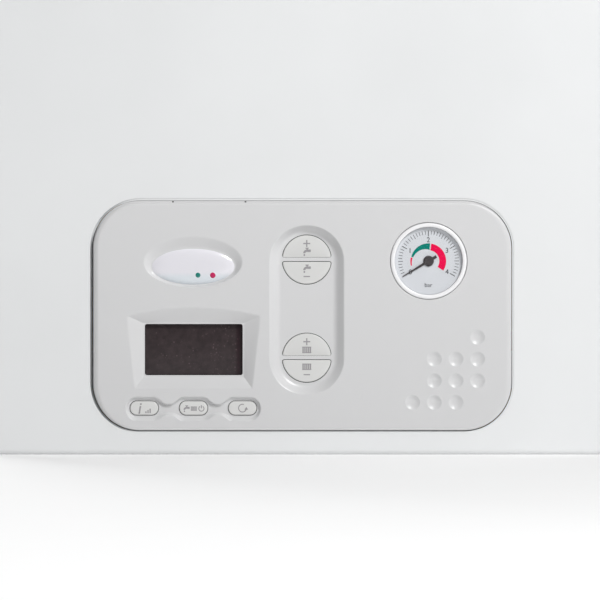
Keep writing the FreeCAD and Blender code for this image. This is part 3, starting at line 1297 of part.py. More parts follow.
def return_pipe():
    """Copper pipe from the pump up to the exchanger's inlet."""
    y = tube_y(0)
    turn = foot(CHAMBER_LOW) - 2 * PIPE_BEND
    x = CONNECTION_X[4]
    points = [V(TUBE_END, y, TUBE_Z), V(PIPE_X, y, TUBE_Z), V(PIPE_X, y, turn),
              V(x, CONNECTION_Y, turn), V(x, CONNECTION_Y, pump_top())]
    return bent_pipe(points, PIPE_BEND, PIPE_R, PIPE_R - PIPE_WALL)


def cable_gland():
    """Cable gland through the tray, with a nut on each side."""
    start = V(GLAND_X, GLAND_Y, TRAY_Z - FLANGE)
    body = rod(start, Z_AXIS, 2 * FLANGE, GLAND_R)
    below = hexagon(V(GLAND_X, GLAND_Y, TRAY_Z - FLANGE / 2), FLANGE / 2, GLAND_R * 1.4)
    above = hexagon(V(GLAND_X, GLAND_Y, TRAY_Z + SHEET), FLANGE / 3, GLAND_R * 1.4)
    return join(body, below, above).cut(rod(start, Z_AXIS, 2 * FLANGE, GLAND_R / 2))


def all_parts():
    """Every sub-part by its node name."""
    left, right = flow_group(), return_group()
    pump = pump_body()
    parts = {
        "back_frame": back_frame(),
        "top_plate": top_plate(),
        "bottom_tray": bottom_tray(),
        "left_side_panel": side_panel(-1),
        "right_side_panel": side_panel(1),
        "hinge_rail": hinge_rail(),
        "front_casing": front_casing(),
        "casing_screws": casing_screws(),
        "fascia": fascia(),
        "control_rear_cover": control_rear_cover(),
        "control_board": control_board(),
        "display_module": display_module(),
        "display_window": display_window(),
        "badge_plate": badge_plate(),
        "gauge_case": gauge_case(),
        "gauge_dial": gauge_dial(),
        "gauge_glass": gauge_glass(),
        "gauge_needle": gauge_needle(),
        "hinge_pins": hinge_pins(),
        "hot_water_plus_button": round_button(ROUND_BUTTON_Z[0], True),
        "hot_water_minus_button": round_button(ROUND_BUTTON_Z[0], False),
        "heating_plus_button": round_button(ROUND_BUTTON_Z[1], True),
        "heating_minus_button": round_button(ROUND_BUTTON_Z[1], False),
        "info_button": pill_button(PILL_X[0]),
        "mode_button": pill_button(PILL_X[1]),
        "reset_button": pill_button(PILL_X[2]),
        "flue_collar": flue_collar(),
        "chamber_box": chamber_box(),
        "chamber_cover": chamber_cover(),
        "sight_glass": sight_glass(),
        "frame_screws": frame_screws(),
        "burner": burner(),
        "gas_manifold": gas_manifold(),
        "combustion_box": combustion_box(),
        "insulation_panels": insulation_panels(),
        "electrodes": electrodes(),
        "heat_exchanger": heat_exchanger(),
        "exchanger_fins": exchanger_fins(),
        "flue_hood": flue_hood(),
        "fan_housing": fan_housing(),
        "fan_impeller": fan_impeller(),
        "fan_motor": fan_motor(),
        "air_switch": air_switch(),
        "expansion_vessel": expansion_vessel(),
        "flow_group": left,
        "return_group": right,
        "filling_tap_knob": filling_tap_knob(),
        "safety_valve": safety_valve(right),
        "safety_valve_knob": safety_valve_knob(),
        "diverter_actuator": diverter_actuator(left),
        "plate_exchanger": plate_exchanger(),
        "pump_body": pump,
        "pump_motor": pump_motor(),
        "air_vent": air_vent(pump),
        "gas_inlet_pipe": gas_inlet_pipe(),
        "gas_valve": gas_valve(),
        "gas_feed_pipe": gas_feed_pipe(),
        "flow_pipe": flow_pipe(),
        "return_pipe": return_pipe(),
        "cable_gland": cable_gland(),
    }
    return parts


os.makedirs("parts", exist_ok=True)
for name, shape in all_parts().items():
    shape.exportStep("parts/" + name + ".step")
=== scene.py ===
"""Wall-hung gas boiler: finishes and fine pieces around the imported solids.

Everything is in metres, in the frame of the solids: +Z up, the front faces -Y, the wall is the plane Y = 0.
"""

import json
import math

import bmesh
import bpy
import numpy as np
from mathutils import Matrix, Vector
from mathutils.geometry import delaunay_2d_cdt


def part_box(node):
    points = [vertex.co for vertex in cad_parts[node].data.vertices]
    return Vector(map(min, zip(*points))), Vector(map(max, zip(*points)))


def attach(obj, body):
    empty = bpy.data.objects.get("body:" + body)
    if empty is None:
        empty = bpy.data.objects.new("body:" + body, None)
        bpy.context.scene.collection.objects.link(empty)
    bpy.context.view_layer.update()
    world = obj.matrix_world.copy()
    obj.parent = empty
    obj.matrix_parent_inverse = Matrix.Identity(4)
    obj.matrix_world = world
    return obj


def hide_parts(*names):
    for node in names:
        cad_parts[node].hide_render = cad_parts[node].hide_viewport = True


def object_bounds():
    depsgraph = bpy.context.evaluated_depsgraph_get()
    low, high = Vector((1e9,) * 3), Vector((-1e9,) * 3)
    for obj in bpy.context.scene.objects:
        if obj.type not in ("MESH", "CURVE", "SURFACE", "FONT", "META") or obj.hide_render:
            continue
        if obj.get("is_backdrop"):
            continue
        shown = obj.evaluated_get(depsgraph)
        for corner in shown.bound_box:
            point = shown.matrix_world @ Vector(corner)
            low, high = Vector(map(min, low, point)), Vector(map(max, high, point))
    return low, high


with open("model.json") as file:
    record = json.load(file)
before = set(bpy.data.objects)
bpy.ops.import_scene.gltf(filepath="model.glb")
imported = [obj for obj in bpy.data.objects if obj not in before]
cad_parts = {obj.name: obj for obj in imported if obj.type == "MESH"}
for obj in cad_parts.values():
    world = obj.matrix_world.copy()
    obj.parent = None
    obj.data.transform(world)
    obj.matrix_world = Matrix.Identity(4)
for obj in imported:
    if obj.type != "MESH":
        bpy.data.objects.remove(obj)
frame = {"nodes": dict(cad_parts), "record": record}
cad_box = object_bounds()

bl_info = {
    "name": "Wall-hung gas boiler",
    "version": (1, 0, 0),
    "blender": (4, 5, 0),
    "location": "View3D > Sidebar > Boiler",
    "description": "Builds the boiler's control panel, printed signs, finishes and studio around its solids",
    "category": "Add Mesh",
}

MM = 0.001
QUARTER, FULL = math.pi / 2, 2 * math.pi
KEYS = ("hot_water_plus_button", "hot_water_minus_button", "heating_plus_button", "heating_minus_button",
        "info_button", "mode_button", "reset_button")
ROUND_KEYS = 4


# Outlines: closed rings of points (x, z), counter-clockwise seen from the front
def arc(a, half_w, half_h=None, cx=0.0, cz=0.0):
    """Points (cx + w cos a, cz + h sin a) of an ellipse, or of a circle, at the angles a."""
    half_h = half_w if half_h is None else half_h
    return np.column_stack([cx + half_w * np.cos(a), cz + half_h * np.sin(a)])


def strip(a, outer, inner):
    """A ring along a circle: its outer edge forwards and its inner edge back."""
    return np.concatenate([arc(a, outer), arc(a, inner)[::-1]])


def rounded_outline(cx, cz, width, height, radius, arc_steps=14, run=8):
    """Four quarter circles (c + r cos t, c + r sin t), joined by straight runs of evenly spaced points."""
    t = np.linspace(0, QUARTER, arc_steps + 1)
    w, h = width / 2 - radius, height / 2 - radius
    corners = [arc(t + k * QUARTER, radius, None, cx + sx * w, cz + sz * h)
               for k, (sx, sz) in enumerate(((1, 1), (-1, 1), (-1, -1), (1, -1)))]
    s = np.linspace(0, 1, run + 1)[1:-1, None]
    pieces = []
    for k in range(4):
        a, b = corners[k][-1], corners[(k + 1) % 4][0]
        pieces += [corners[k], a + (b - a) * s]
    return np.concatenate(pieces)


def oval_outline(cx, cz, half_w, half_h, count=96):
    """Ellipse (a cos t, b sin t)."""
    return arc(np.linspace(0, FULL, count, endpoint=False), half_w, half_h, cx, cz)


def half_outline(cx, cz, radius, cut, upper, corner, arc_points=40, chord_points=12):
    """A disc's part beyond a chord at height `cut`, its two corners eased by circles of radius `corner`.

    The corner circle touches the chord from inside and the rim from inside, so its centre lies at
    height cut + corner and at distance radius - corner from the disc's centre.
    """
    h = cut + corner
    w = math.sqrt((radius - corner) ** 2 - h ** 2)
    touch = math.atan2(h, w)
    right = arc(np.linspace(-QUARTER, touch, 8)[:-1], corner, None, w, h)
    left = right[::-1] * np.array([-1, 1])
    top = arc(np.linspace(touch, math.pi - touch, arc_points), radius)
    chord = np.column_stack([np.linspace(-w, w, chord_points + 2)[1:-1], np.full(chord_points, cut)])
    ring = np.concatenate([right, top, left, chord])
    if not upper:
        ring = ring[::-1] * np.array([1, -1])
    return ring + np.array([cx, cz])


def tent_outline(share, cx, cz, window, rim, count=26):
    """The display's surround: an arched trapezium at share 0 that becomes the window's rectangle at 1.

    Each side is a straight run of evenly spaced points; the top adds a parabola of the crown's height.
    """
    half_top, half_low, shoulder, crown, low = rim
    half_w, half_h = window

    def mix(a, b):
        return a + (b - a) * share

    s = np.linspace(0, 1, count, endpoint=False)[:, None]
    a = np.array([mix(half_low, half_w), mix(low, -half_h)])
    b = np.array([mix(half_top, half_w), mix(shoulder, half_h)])
    right, mirror = a + (b - a) * s, np.array([-1, 1])
    top = b + (b * mirror - b) * s
    top[:, 1] += mix(crown - shoulder, 0.0) * (1 - (2 * s[:, 0] - 1) ** 2)
    left = b * mirror + (a * mirror - b * mirror) * s
    foot = a * mirror + (a - a * mirror) * s
    return np.concatenate([right, top, left, foot]) + np.array([cx, cz])


def chain_outline(xs, cz, half_len, upper, lower, count, hold=0.55, reach=0.46):
    """Pill recesses joined by necks: above and below, the height is a cosine blend from pills to necks.

    h(x) = neck + (pill - neck) (1 + cos(pi d)) / 2, where d runs from 0 over a pill to 1 over a neck; the
    far ends are half ellipses. `upper` and `lower` are the heights of (pill, neck).
    """
    first, last = xs[0] - half_len, xs[-1] + half_len
    x = first + (last - first) * (1 - np.cos(np.linspace(0, math.pi, count))) / 2
    away = np.min(np.abs(x[:, None] - np.array(xs)[None, :]), axis=1)
    start, end = half_len * hold, (xs[1] - xs[0]) * reach
    d = np.clip((away - start) / (end - start), 0, 1)
    ends = np.minimum(x - first, last - x)
    outer = (x < xs[0]) | (x > xs[-1])
    cap = np.sqrt(np.clip(1 - (1 - np.clip(ends / upper[0], 0, 1)) ** 2, 0, 1))

    def height(pill, neck):
        return np.where(outer, pill * cap, neck + (pill - neck) * (1 + np.cos(math.pi * d)) / 2)

    above = np.column_stack([x, cz + height(*upper)])[::-1]
    below = np.column_stack([x, cz - height(*lower)])[1:-1]
    return np.concatenate([above, below])


def outward(ring):
    """Unit normals of a ring, which are its tangents turned by a right angle."""
    run = np.roll(ring, -1, axis=0) - np.roll(ring, 1, axis=0)
    run /= np.linalg.norm(run, axis=1)[:, None]
    return np.column_stack([run[:, 1], -run[:, 0]])


def widened(ring, by):
    """A ring moved outwards along its normals, by one distance or by one for each point."""
    return ring + np.broadcast_to(by, len(ring))[:, None] * outward(ring)


def by_side(ring, sides):
    """A length at each point of a ring from those of its sides, shared by n_x^2 and n_z^2 of the normal."""
    left, right, upper, lower = sides
    x, z = outward(ring).T
    return np.where(x < 0, left, right) * x ** 2 + np.where(z < 0, lower, upper) * z ** 2


def eased(t, start=0.2, end=0.2):
    """A ramp from 0 to 1 with a parabola at each end, so that its slope rises and falls evenly."""
    t, whole = np.asarray(t, float), 1 - (start + end) / 2
    rise = np.where(t < start, t ** 2 / (2 * start), t - start / 2)
    return np.where(t > 1 - end, whole - (1 - t) ** 2 / (2 * end), rise) / whole


def quarter(radius, count):
    """An edge turned along a quarter circle: its insets r (1 - sin a) and its depths r (1 - cos a)."""
    a = np.linspace(0, QUARTER, count)
    return radius * (1 - np.sin(a)), radius * (1 - np.cos(a))


# Patches: points and faces that are put together as one mesh
def at_depth(ring, y):
    """Ring (x, z) as points (x, y, z)."""
    return np.column_stack([ring[:, 0], np.broadcast_to(y, len(ring)), ring[:, 1]])


def grid(points):
    """Quads between neighbouring rows of a grid of points, whose last column joins its first."""
    rows, cols = points.shape[:2]
    i = np.arange(rows * cols).reshape(rows, cols)
    j = np.roll(i, -1, axis=1)
    return points.reshape(-1, 3), np.stack([i[:-1], j[:-1], j[1:], i[1:]], axis=-1).reshape(-1, 4)


def inside(points, ring):
    """Even-odd test of points against a ring, all edges at once."""
    a, b = ring, np.roll(ring, -1, axis=0)
    px, pz = points[:, :1], points[:, 1:]
    cross = (a[:, 1] > pz) != (b[:, 1] > pz)
    rise = np.where(b[:, 1] == a[:, 1], 1e-12, b[:, 1] - a[:, 1])
    hit = px < (b[:, 0] - a[:, 0]) * (pz - a[:, 1]) / rise + a[:, 0]
    return (cross & hit).sum(axis=1) % 2 == 1


def flat(y, outer, holes=()):
    """A flat sheet at depth y between an outer ring and holes: the constrained Delaunay triangles inside.

    The triangulation works in single precision, so the rings are rounded to it before triangles are judged.
    """
    rings = [np.float32(ring / MM).astype(float) for ring in (outer, *holes)]
    edges, start = [], 0
    for ring in rings:
        k = np.arange(len(ring))
        edges.append(np.column_stack([start + k, start + (k + 1) % len(ring)]))
        start += len(ring)
    found = delaunay_2d_cdt(np.concatenate(rings).tolist(), np.concatenate(edges).tolist(), [], 0, 1e-5)
    at, tris = np.array([tuple(v) for v in found[0]]), np.array(found[2])
    centre = at[tris].mean(axis=1)
    keep = inside(centre, rings[0])
    for hole in rings[1:]:
        keep &= ~inside(centre, hole)
    return at_depth(at * MM, y), tris[keep]


def swept(rings, depths):
    """A surface through rings of equal length, each at its own depth or depths."""
    return grid(np.stack([at_depth(r, d) for r, d in zip(rings, depths)]))


def prism(ring, front, back):
    """A ring carried straight back, with a flat front and a flat back."""
    return [swept([ring, ring], [front, back]), flat(front, ring), flat(back, ring)]


def plug(outline, edge, front, back, count):
    """A closed plug: outline(inset) drawn in along a quarter circle at its front edge, with flat ends."""
    insets, depths = quarter(edge, count)
    rings = [outline(v) for v in insets] + [outline(0.0)]
    depths = np.append(front + depths, back)
    return [swept(rings, depths), flat(depths[0], rings[0]), flat(back, rings[-1])]


def dome(x, z, half_w, half_h, floor, height, power, count=96):
    """A cap over an ellipse: at share s of its size it stands height (1 - s^power) before the floor."""
    share = np.append(np.sin(np.linspace(QUARTER, 0, 16)), 0.0)
    rings = [oval_outline(x, z, half_w * v, half_h * v, count) for v in share]
    return [swept(rings, floor - height * (1 - share ** power)), flat(floor, rings[0])]


def turned(profile, x, z, count=128):
    """A profile of (radius, depth) carried round the axis through (x, z) that points to the front."""
    a = np.linspace(0, FULL, count, endpoint=False)
    radius, depth = np.asarray(profile, float).T[:, :, None]
    return grid(np.stack([x + radius * np.cos(a), np.broadcast_to(depth, (len(profile), count)),
                          z + radius * np.sin(a)], axis=-1))


def build(name, body, patches, look, slot=None, sharp=38.0, node=None):
    """One closed piece from patches: points merged, faces turned outwards, edges sharp past an angle.

    The slot argument is not used; `node` is the solid that it stands in for.
    """
    verts, faces, start = [], [], 0
    for points, index in patches:
        verts.append(points)
        faces += (index + start).tolist()
        start += len(points)
    mesh = bpy.data.meshes.new(name)
    mesh.from_pydata(np.concatenate(verts).tolist(), [], faces)
    piece = bpy.data.objects.new(name, mesh)
    bpy.context.scene.collection.objects.link(piece)
    tidy(mesh, sharp)
    mesh.materials.append(finish(look))
    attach(piece, body)
    slot or look
    if node:
        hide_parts(node)


def tidy(mesh, sharp):
    """Merges points closer than 2 micrometres, turns the faces outwards and smooths all but sharp edges."""
    bm = bmesh.new()
    bm.from_mesh(mesh)
    bmesh.ops.remove_doubles(bm, verts=bm.verts, dist=2e-6)
    bmesh.ops.dissolve_degenerate(bm, edges=bm.edges, dist=1e-7)
    bmesh.ops.recalc_face_normals(bm, faces=bm.faces)
    bm.to_mesh(mesh)
    bm.free()
    mesh.shade_smooth()
    mesh.set_sharp_from_angle(angle=math.radians(sharp))


# Finishes
class Nodes:
    """A material's node tree with short ways to add and join nodes."""

    def __init__(self, name):
        self.material = bpy.data.materials.new(name)
        self.material.use_nodes = True
        self.tree = self.material.node_tree
        self.shader = self.tree.nodes["Principled BSDF"]
        self.coords = self.add("ShaderNodeTexCoord").outputs["Object"]

    def add(self, kind, inputs=None, **settings):
        node = self.tree.nodes.new(kind)
        for key, value in settings.items():
            setattr(node, key, value)
        self.join(node, inputs or {})
        return node

    def join(self, node, inputs):
        """Links or sets a node's inputs."""
        for key, value in inputs.items():
            if hasattr(value, "is_output"):
                self.tree.links.new(value, node.inputs[key])
            else:
                node.inputs[key].default_value = value

    def look(self, **inputs):
        """Links or sets the shader's inputs, whose names are written with underscores for spaces."""
        self.join(self.shader, {key.replace("_", " "): value for key, value in inputs.items()})

    def stretched(self, scale):
        """Object coordinates stretched along the axes."""
        return self.add("ShaderNodeMapping", {"Vector": self.coords, "Scale": scale}).outputs["Vector"]

    def along(self, axis, node):
        """Share of the way through a solid's box along an axis."""
        low, high = (corner["XYZ".index(axis)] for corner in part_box(node))
        place = self.add("ShaderNodeSeparateXYZ", {"Vector": self.coords}).outputs[axis]
        return self.spread(place, 0.0, 1.0, low, high)

    def noise(self, scale, detail=3.0, rough=0.5, vector=None):
        """Fractal noise; the scale is in waves per metre."""
        inputs = {"Vector": vector or self.coords, "Scale": scale, "Detail": detail, "Roughness": rough}
        return self.add("ShaderNodeTexNoise", inputs).outputs["Fac"]

    def cells(self, scale, output="Color", vector=None):
        inputs = {"Vector": vector or self.coords, "Scale": scale}
        return self.add("ShaderNodeTexVoronoi", inputs).outputs[output]

    def ramp(self, value, *stops):
        node = self.add("ShaderNodeValToRGB", {"Fac": value})
        ends = node.color_ramp.elements
        for element, (place, colour) in zip(ends, (stops[0], stops[-1])):
            element.position, element.color = place, colour
        for place, colour in stops[1:-1]:
            ends.new(place).color = colour
        return node.outputs["Color"]

    def shades(self, value, colour, *stops):
        """A ramp of one colour, lighter or darker by a factor at each place."""
        return self.ramp(value, *((place, shade(colour, factor)) for place, factor in stops))

    def mixed(self, share, first, second, blend="MIX"):
        inputs = {0: share, 6: first, 7: second}
        return self.add("ShaderNodeMix", inputs, data_type="RGBA", blend_type=blend).outputs[2]

    def spread(self, value, low, high, start=0.0, end=1.0):
        """A value from between start and end, brought to between low and high."""
        inputs = {"Value": value, "From Min": start, "From Max": end, "To Min": low, "To Max": high}
        return self.add("ShaderNodeMapRange", inputs).outputs["Result"]

    def reckon(self, *values, operation="ADD"):
        return self.add("ShaderNodeMath", dict(enumerate(values)), operation=operation).outputs[0]

    def bump(self, height, strength, distance):
        inputs = {"Height": height, "Strength": strength, "Distance": distance}
        return self.add("ShaderNodeBump", inputs).outputs["Normal"]


BLACK, WHITE = (0, 0, 0, 1), (1, 1, 1, 1)


def shade(colour, factor):
    """A linear colour made lighter or darker, with full cover."""
    return tuple(min(1.0, c * factor) for c in colour[:3]) + (1.0,)


def painted(name, colour, rough, peel=0.05, tint=0.02):
    """Powder-coated sheet: fine orange peel of about a millimetre and a faint drift of tone."""
    n = Nodes(name)
    n.look(Base_Color=n.shades(n.noise(9.0, 2.0), colour, (0.3, 1 - tint), (0.7, 1 + tint)),
           Roughness=n.spread(n.noise(60.0), rough * 0.88, rough * 1.12),
           Normal=n.bump(n.noise(900.0, 2.0), peel, 0.0004), Coat_Weight=0.12, Coat_Roughness=0.2)


def moulded(name, colour, rough, grain=0.06, scale=3200.0, tint=0.015):
    """Moulded plastic: an eroded grain of a third of a millimetre over a faint flow mark."""
    n = Nodes(name)
    n.look(Base_Color=n.shades(n.noise(14.0), colour, (0.3, 1 - tint), (0.7, 1 + tint)),
           Roughness=n.spread(n.noise(220.0), rough * 0.9, rough * 1.1),
           Normal=n.bump(n.noise(scale, 2.0), grain, 0.0002))


def fascia_skin(name, colour, rough):
    """The fascia's moulded skin: fine grain and faint flow marks, with painted light that makes the colour
    darker at the bottom and lighter at the top, as if lit from above.
    """
    n = Nodes(name)
    # Painted light: the base colour runs from 0.955 at the fascia's foot to 1.03 at its top, with the flow
    # marks mixed in
    level = n.reckon(n.along("Z", "fascia"), n.spread(n.noise(14.0, 2.0), -0.1, 0.1))
    n.look(Base_Color=n.shades(level, colour, (0.0, 0.955), (1.0, 1.03)),
           Roughness=n.spread(n.noise(90.0, 2.0), rough * 0.94, rough * 1.06),
           Normal=n.bump(n.noise(2400.0, 2.0), 0.015, 0.0002))


def metal(name, colour, rough, pits=0.1, scale=700.0, stain=0.12, stretch=(1, 1, 1)):
    """Bare metal: stains, uneven gloss and a cast, drawn or brushed surface by stretching its noise."""
    n = Nodes(name)
    along = n.stretched(stretch)
    marks = n.noise(26.0, 5.0, 0.6, along)
    n.look(Base_Color=n.shades(marks, colour, (0.25, 1 - 2 * stain), (0.55, 1.0), (0.8, 1 + stain)),
           Roughness=n.spread(n.noise(90.0, 4.0, 0.6, along), rough * 0.75, rough * 1.25),
           Normal=n.bump(n.noise(scale, 3.0, 0.5, along), pits, 0.0003), Metallic=1.0)


def galvanised(name, colour):
    """Zinc-coated sheet: spangle some eight millimetres across, each crystal with its own tone and gloss."""
    n = Nodes(name)
    tone = n.add("ShaderNodeSeparateColor", {"Color": n.cells(125.0)}).outputs
    n.look(Base_Color=n.shades(tone["Red"], colour, (0.0, 0.86), (1.0, 1.08)),
           Roughness=n.spread(tone["Green"], 0.34, 0.52),
           Normal=n.bump(n.noise(300.0), 0.05, 0.0002), Metallic=1.0)


def display_dark(name, colour):
    """Unlit liquid-crystal pane: brown-black with fine dust, and a painted shadow of the window's right wall
    that darkens a strip along its right side.
    """
    n = Nodes(name)
    drift = n.shades(n.noise(330.0, 5.0, 0.6), colour, (0.32, 0.76), (0.68, 1.26))
    share = n.along("X", "display_window")
    lean = n.reckon(share, 0.16, n.noise(260.0, 2.0), operation="MULTIPLY_ADD")
    dust = n.ramp(n.cells(520.0, "Distance"), (0.03, WHITE), (0.27, BLACK))
    specks = n.mixed(1.0, dust, n.ramp(lean, (0.54, BLACK), (0.76, WHITE)), "MULTIPLY")
    # Painted shadow: the colour darkened over the right twentieth of the pane, where the window's right wall
    # shades it
    margin = n.ramp(share, (0.92, WHITE), (0.955, (0.52, 0.24, 0.36, 1)))
    n.look(Base_Color=n.mixed(1.0, n.mixed(specks, drift, shade(colour, 4.6)), margin, "MULTIPLY"),
           Roughness=n.spread(n.noise(500.0), 0.28, 0.36), Specular_IOR_Level=0.35)


def clear(name, alpha):
    """Clear glass: shown by its reflections and a faint wipe mark."""
    n = Nodes(name)
    n.look(Base_Color=(0.05, 0.055, 0.06, 1), Alpha=alpha,
           Roughness=n.spread(n.noise(40.0, 4.0), 0.02, 0.08))


def ink(name, colour):
    """Screen-printed ink: thin, matt and slightly uneven in cover."""
    n = Nodes(name)
    n.look(Base_Color=n.shades(n.noise(1800.0), colour, (0.3, 0.94), (0.7, 1.06)),
           Roughness=n.spread(n.noise(700.0), 0.5, 0.65), Specular_IOR_Level=0.12)


def pearl(name, colour):
    """Domed badge plastic: lilac pearl white under a clear gloss, with a painted reflection that makes it
    darker and bluer below a fifth of its height and slightly lighter towards the top.
    """
    n = Nodes(name)
    # Painted reflection: the colour darker and bluer at the badge's foot, rising to slightly lighter at its
    # top
    stops = ((0.2, (colour[0] * 0.88, colour[1] * 0.95, colour[2] * 0.95, 1)),
             (0.34, shade(colour, 1.0)), (1.0, shade(colour, 1.02)))
    n.look(Base_Color=n.ramp(n.along("Z", "badge_plate"), *stops),
           Roughness=n.spread(n.noise(300.0), 0.14, 0.2), Coat_Weight=0.6, Coat_Roughness=0.05)


def circuit(name, colour):
    """Circuit board: green lacquer over traces, drawn by stretched cells."""
    n = Nodes(name)
    cells = n.cells(420.0, "Distance", n.stretched((1.0, 1.0, 0.25)))
    n.look(Base_Color=n.shades(cells, colour, (0.2, 1.5), (0.34, 0.9)),
           Roughness=n.spread(n.noise(300.0), 0.3, 0.45), Normal=n.bump(cells, 0.1, 0.0002))


def fibre(name, colour):
    """Ceramic fibre board: matted, rough and slightly scorched."""
    n = Nodes(name)
    mat = n.noise(240.0, 6.0, 0.7, n.stretched((1.0, 1.0, 0.4)))
    n.look(Base_Color=n.shades(mat, colour, (0.3, 0.82), (0.7, 1.04)), Roughness=0.95,
           Normal=n.bump(mat, 0.5, 0.0008))


def make_finishes(tones):
    """Every finish, named as its material slot, with the colours that a user may change."""
    painted("white_paint", tones.casing, rough=0.36)
    fascia_skin("fascia_plastic", tones.fascia, rough=0.3)
    moulded("button_plastic", tones.keys, rough=0.32, grain=0.04)
    pearl("badge_plastic", tones.badge)
    display_dark("display_pane", tones.display)
    moulded("gauge_white", (0.86, 0.86, 0.87), rough=0.22, grain=0.01)
    moulded("dial_white", (0.72, 0.74, 0.775), rough=0.6, grain=0.02)
    moulded("needle_black", (0.05, 0.042, 0.044), rough=0.5, grain=0.03)
    ink("print_grey", tones.signs)
    ink("print_black", (0.03, 0.03, 0.035))
    ink("print_red", (0.92, 0.0, 0.08))
    ink("print_green", (0.0, 0.23, 0.18))
    moulded("light_green", (0.008, 0.2, 0.165), rough=0.3, grain=0.0)
    moulded("light_red", (0.52, 0.012, 0.1), rough=0.3, grain=0.0)
    moulded("box_plastic", (0.05, 0.053, 0.058), rough=0.55)
    moulded("black_plastic", (0.016, 0.016, 0.018), rough=0.5, grain=0.1, scale=1500.0)
    circuit("board_green", (0.012, 0.09, 0.03))
    galvanised("galvanised", (0.6, 0.61, 0.62))
    metal("steel", (0.6, 0.6, 0.61), rough=0.34, pits=0.05, scale=900.0, stain=0.06, stretch=(1, 1, 0.15))
    metal("aluminium", (0.7, 0.71, 0.72), rough=0.42, pits=0.25, scale=900.0, stain=0.05)
    metal("copper", (0.72, 0.34, 0.2), rough=0.3, pits=0.04, scale=500.0, stain=0.16)
    metal("brass", (0.66, 0.47, 0.2), rough=0.36, pits=0.2, scale=1000.0, stain=0.1)
    fibre("ceramic", (0.78, 0.74, 0.66))
    clear("clear_glass", alpha=0.04)
    painted("vessel_red", (0.32, 0.02, 0.014), rough=0.4)
    painted("motor_paint", (0.05, 0.07, 0.09), rough=0.45, peel=0.12)
    moulded("knob_red", (0.42, 0.012, 0.01), rough=0.4)
    moulded("knob_blue", (0.012, 0.05, 0.28), rough=0.4)
    moulded("floor_pale", tones.floor, rough=0.9, grain=0.0, scale=2.0, tint=0.003)


def finish(name):
    """A finish by its name; it is an error if it hasn't been made."""
    return bpy.data.materials[name]


# Sizes and colours that a user may change
def length(name, description, default):
    return bpy.props.FloatProperty(name=name, description=description, default=default * MM, min=0.0,
                                   unit="LENGTH", precision=5)


def tone(name, description, default):
    return bpy.props.FloatVectorProperty(name=name, description=description, default=default, size=3,
                                         min=0.0, max=1.0, subtype="COLOR")


def around(name, description, default):
    """A length for each side of the panel: left, right, upper and lower."""
    return bpy.props.FloatVectorProperty(name=name, description=description, size=4, min=0.0, unit="LENGTH",
                                         precision=5, default=tuple(v * MM for v in default))


def power(name, description, default):
    return bpy.props.FloatProperty(name=name, description=description, default=default, min=0.0,
                                   unit="POWER")


class BoilerPanelSizes(bpy.types.PropertyGroup):
    """Sizes of the control panel's face."""

    width: length("Panel width", "Width of the fascia", 260.0)
    height: length("Panel height", "Height of the fascia", 142.5)
    corner: length("Panel corner", "Radius of the fascia's corners", 29.6)
    edge: length("Panel edge", "Radius of the fascia's front edges", 0.4)
    roll: around("Roll", "Width of the fascia's rolled border on each side", (3.0, 3.6, 1.0, 1.0))
    roll_drop: around("Roll drop", "How far the rolled border falls on each side", (1.15, 0.6, 0.16, 0.2))
    shelf: around("Shelf", "Width of the ledge outside the roll on each side", (0.8, 0.0, 1.6, 0.0))
    step: around("Step", "How far the ledge lies below the roll on each side", (4.0, 0.0, 0.2, 0.0))
    draft: around("Draft", "How far the rim leans in towards its back on each side", (0.3, 0.3, 1.0, 0.3))
    skirt: length("Skirt", "How far the fascia's rim reaches back", 18.0)
    wall: length("Wall", "Thickness of the fascia's rim", 2.5)
    opening_gap: length("Opening gap", "Clearance between the fascia and the casing's opening", 1.5)
    opening_corner: length("Opening corner", "Radius of the corners of the casing's opening", 28.0)
    rim_in: around("Rim", "How far the rim reaches into the opening on each side", (0.25, 0.1, 0.1, 0.1))
    lip_depth: around("Lip depth", "How far behind the face the opening's lip lies", (7.0, 0.3, 0.35, 1.0))
    lip_clear: around("Lip clearance", "Gap between the lip and the fascia", (0.6, 0.42, 0.12, 0.65))
    pad: length("Pad", "Thickness of the fascia's face", 6.5)
    channel_width: length("Channel width", "Width of the keys' channel", 45.0)
    channel_depth: length("Channel depth", "Depth of the keys' channel", 4.5)
    channel_slope: length("Channel slope", "Width of the channel's sloping side", 6.4)
    key_radius: length("Key radius", "Radius of a pair of keys", 15.2)
    key_bar: length("Key bar", "Gap between the two keys of a pair", 2.6)
    key_drop: length("Key drop", "How far the keys' faces lie below the fascia's", 4.45)
    key_edge: length("Key edge", "Radius of a key's front edge", 0.7)
    key_gap: length("Key gap", "Clearance around a key", 0.36)
    display_width: length("Display width", "Width of the display's window", 60.8)
    display_height: length("Display height", "Height of the display's window", 31.8)
    display_depth: length("Display depth", "Depth of the window below the fascia", 3.5)
    pill_width: length("Pill width", "Width of a pill key", 17.5)
    pill_height: length("Pill height", "Height of a pill key", 8.6)
    pill_margin: length("Pill margin", "Flat floor of the recess around a pill key", 1.2)
    pill_slope: around("Pill slope", "Width of the recess's slope on each side", (1.6, 1.6, 1.7, 2.7))
    pill_depth: length("Pill recess", "Depth of the pill keys' recess", 2.1)
    pill_drop: length("Pill drop", "How far the pill keys' faces lie below the fascia's", 1.8)
    badge_width: length("Badge width", "Width of the oval badge", 51.2)
    badge_height: length("Badge height", "Height of the oval badge", 22.2)
    badge_depth: length("Badge recess", "Depth of the badge's recess", 2.5)
    dimple_radius: length("Dimple radius", "Radius of a dimple", 4.7)
    dimple_depth: length("Dimple depth", "Depth of a dimple", 1.1)
    gauge_radius: length("Gauge radius", "Radius of the gauge's bezel", 23.6)
    gauge_proud: length("Gauge height", "How far the bezel stands before the fascia", 0.6)
    gauge_seat: length("Gauge seat", "Depth of the round seat that the bezel lies in", 1.6)
    dial_radius: length("Dial radius", "Radius of the gauge's dial", 21.0)
    dial_depth: length("Dial depth", "Depth of the dial's face below the fascia's", 2.2)
    print_height: length("Print height", "Thickness of printed ink", 0.06)


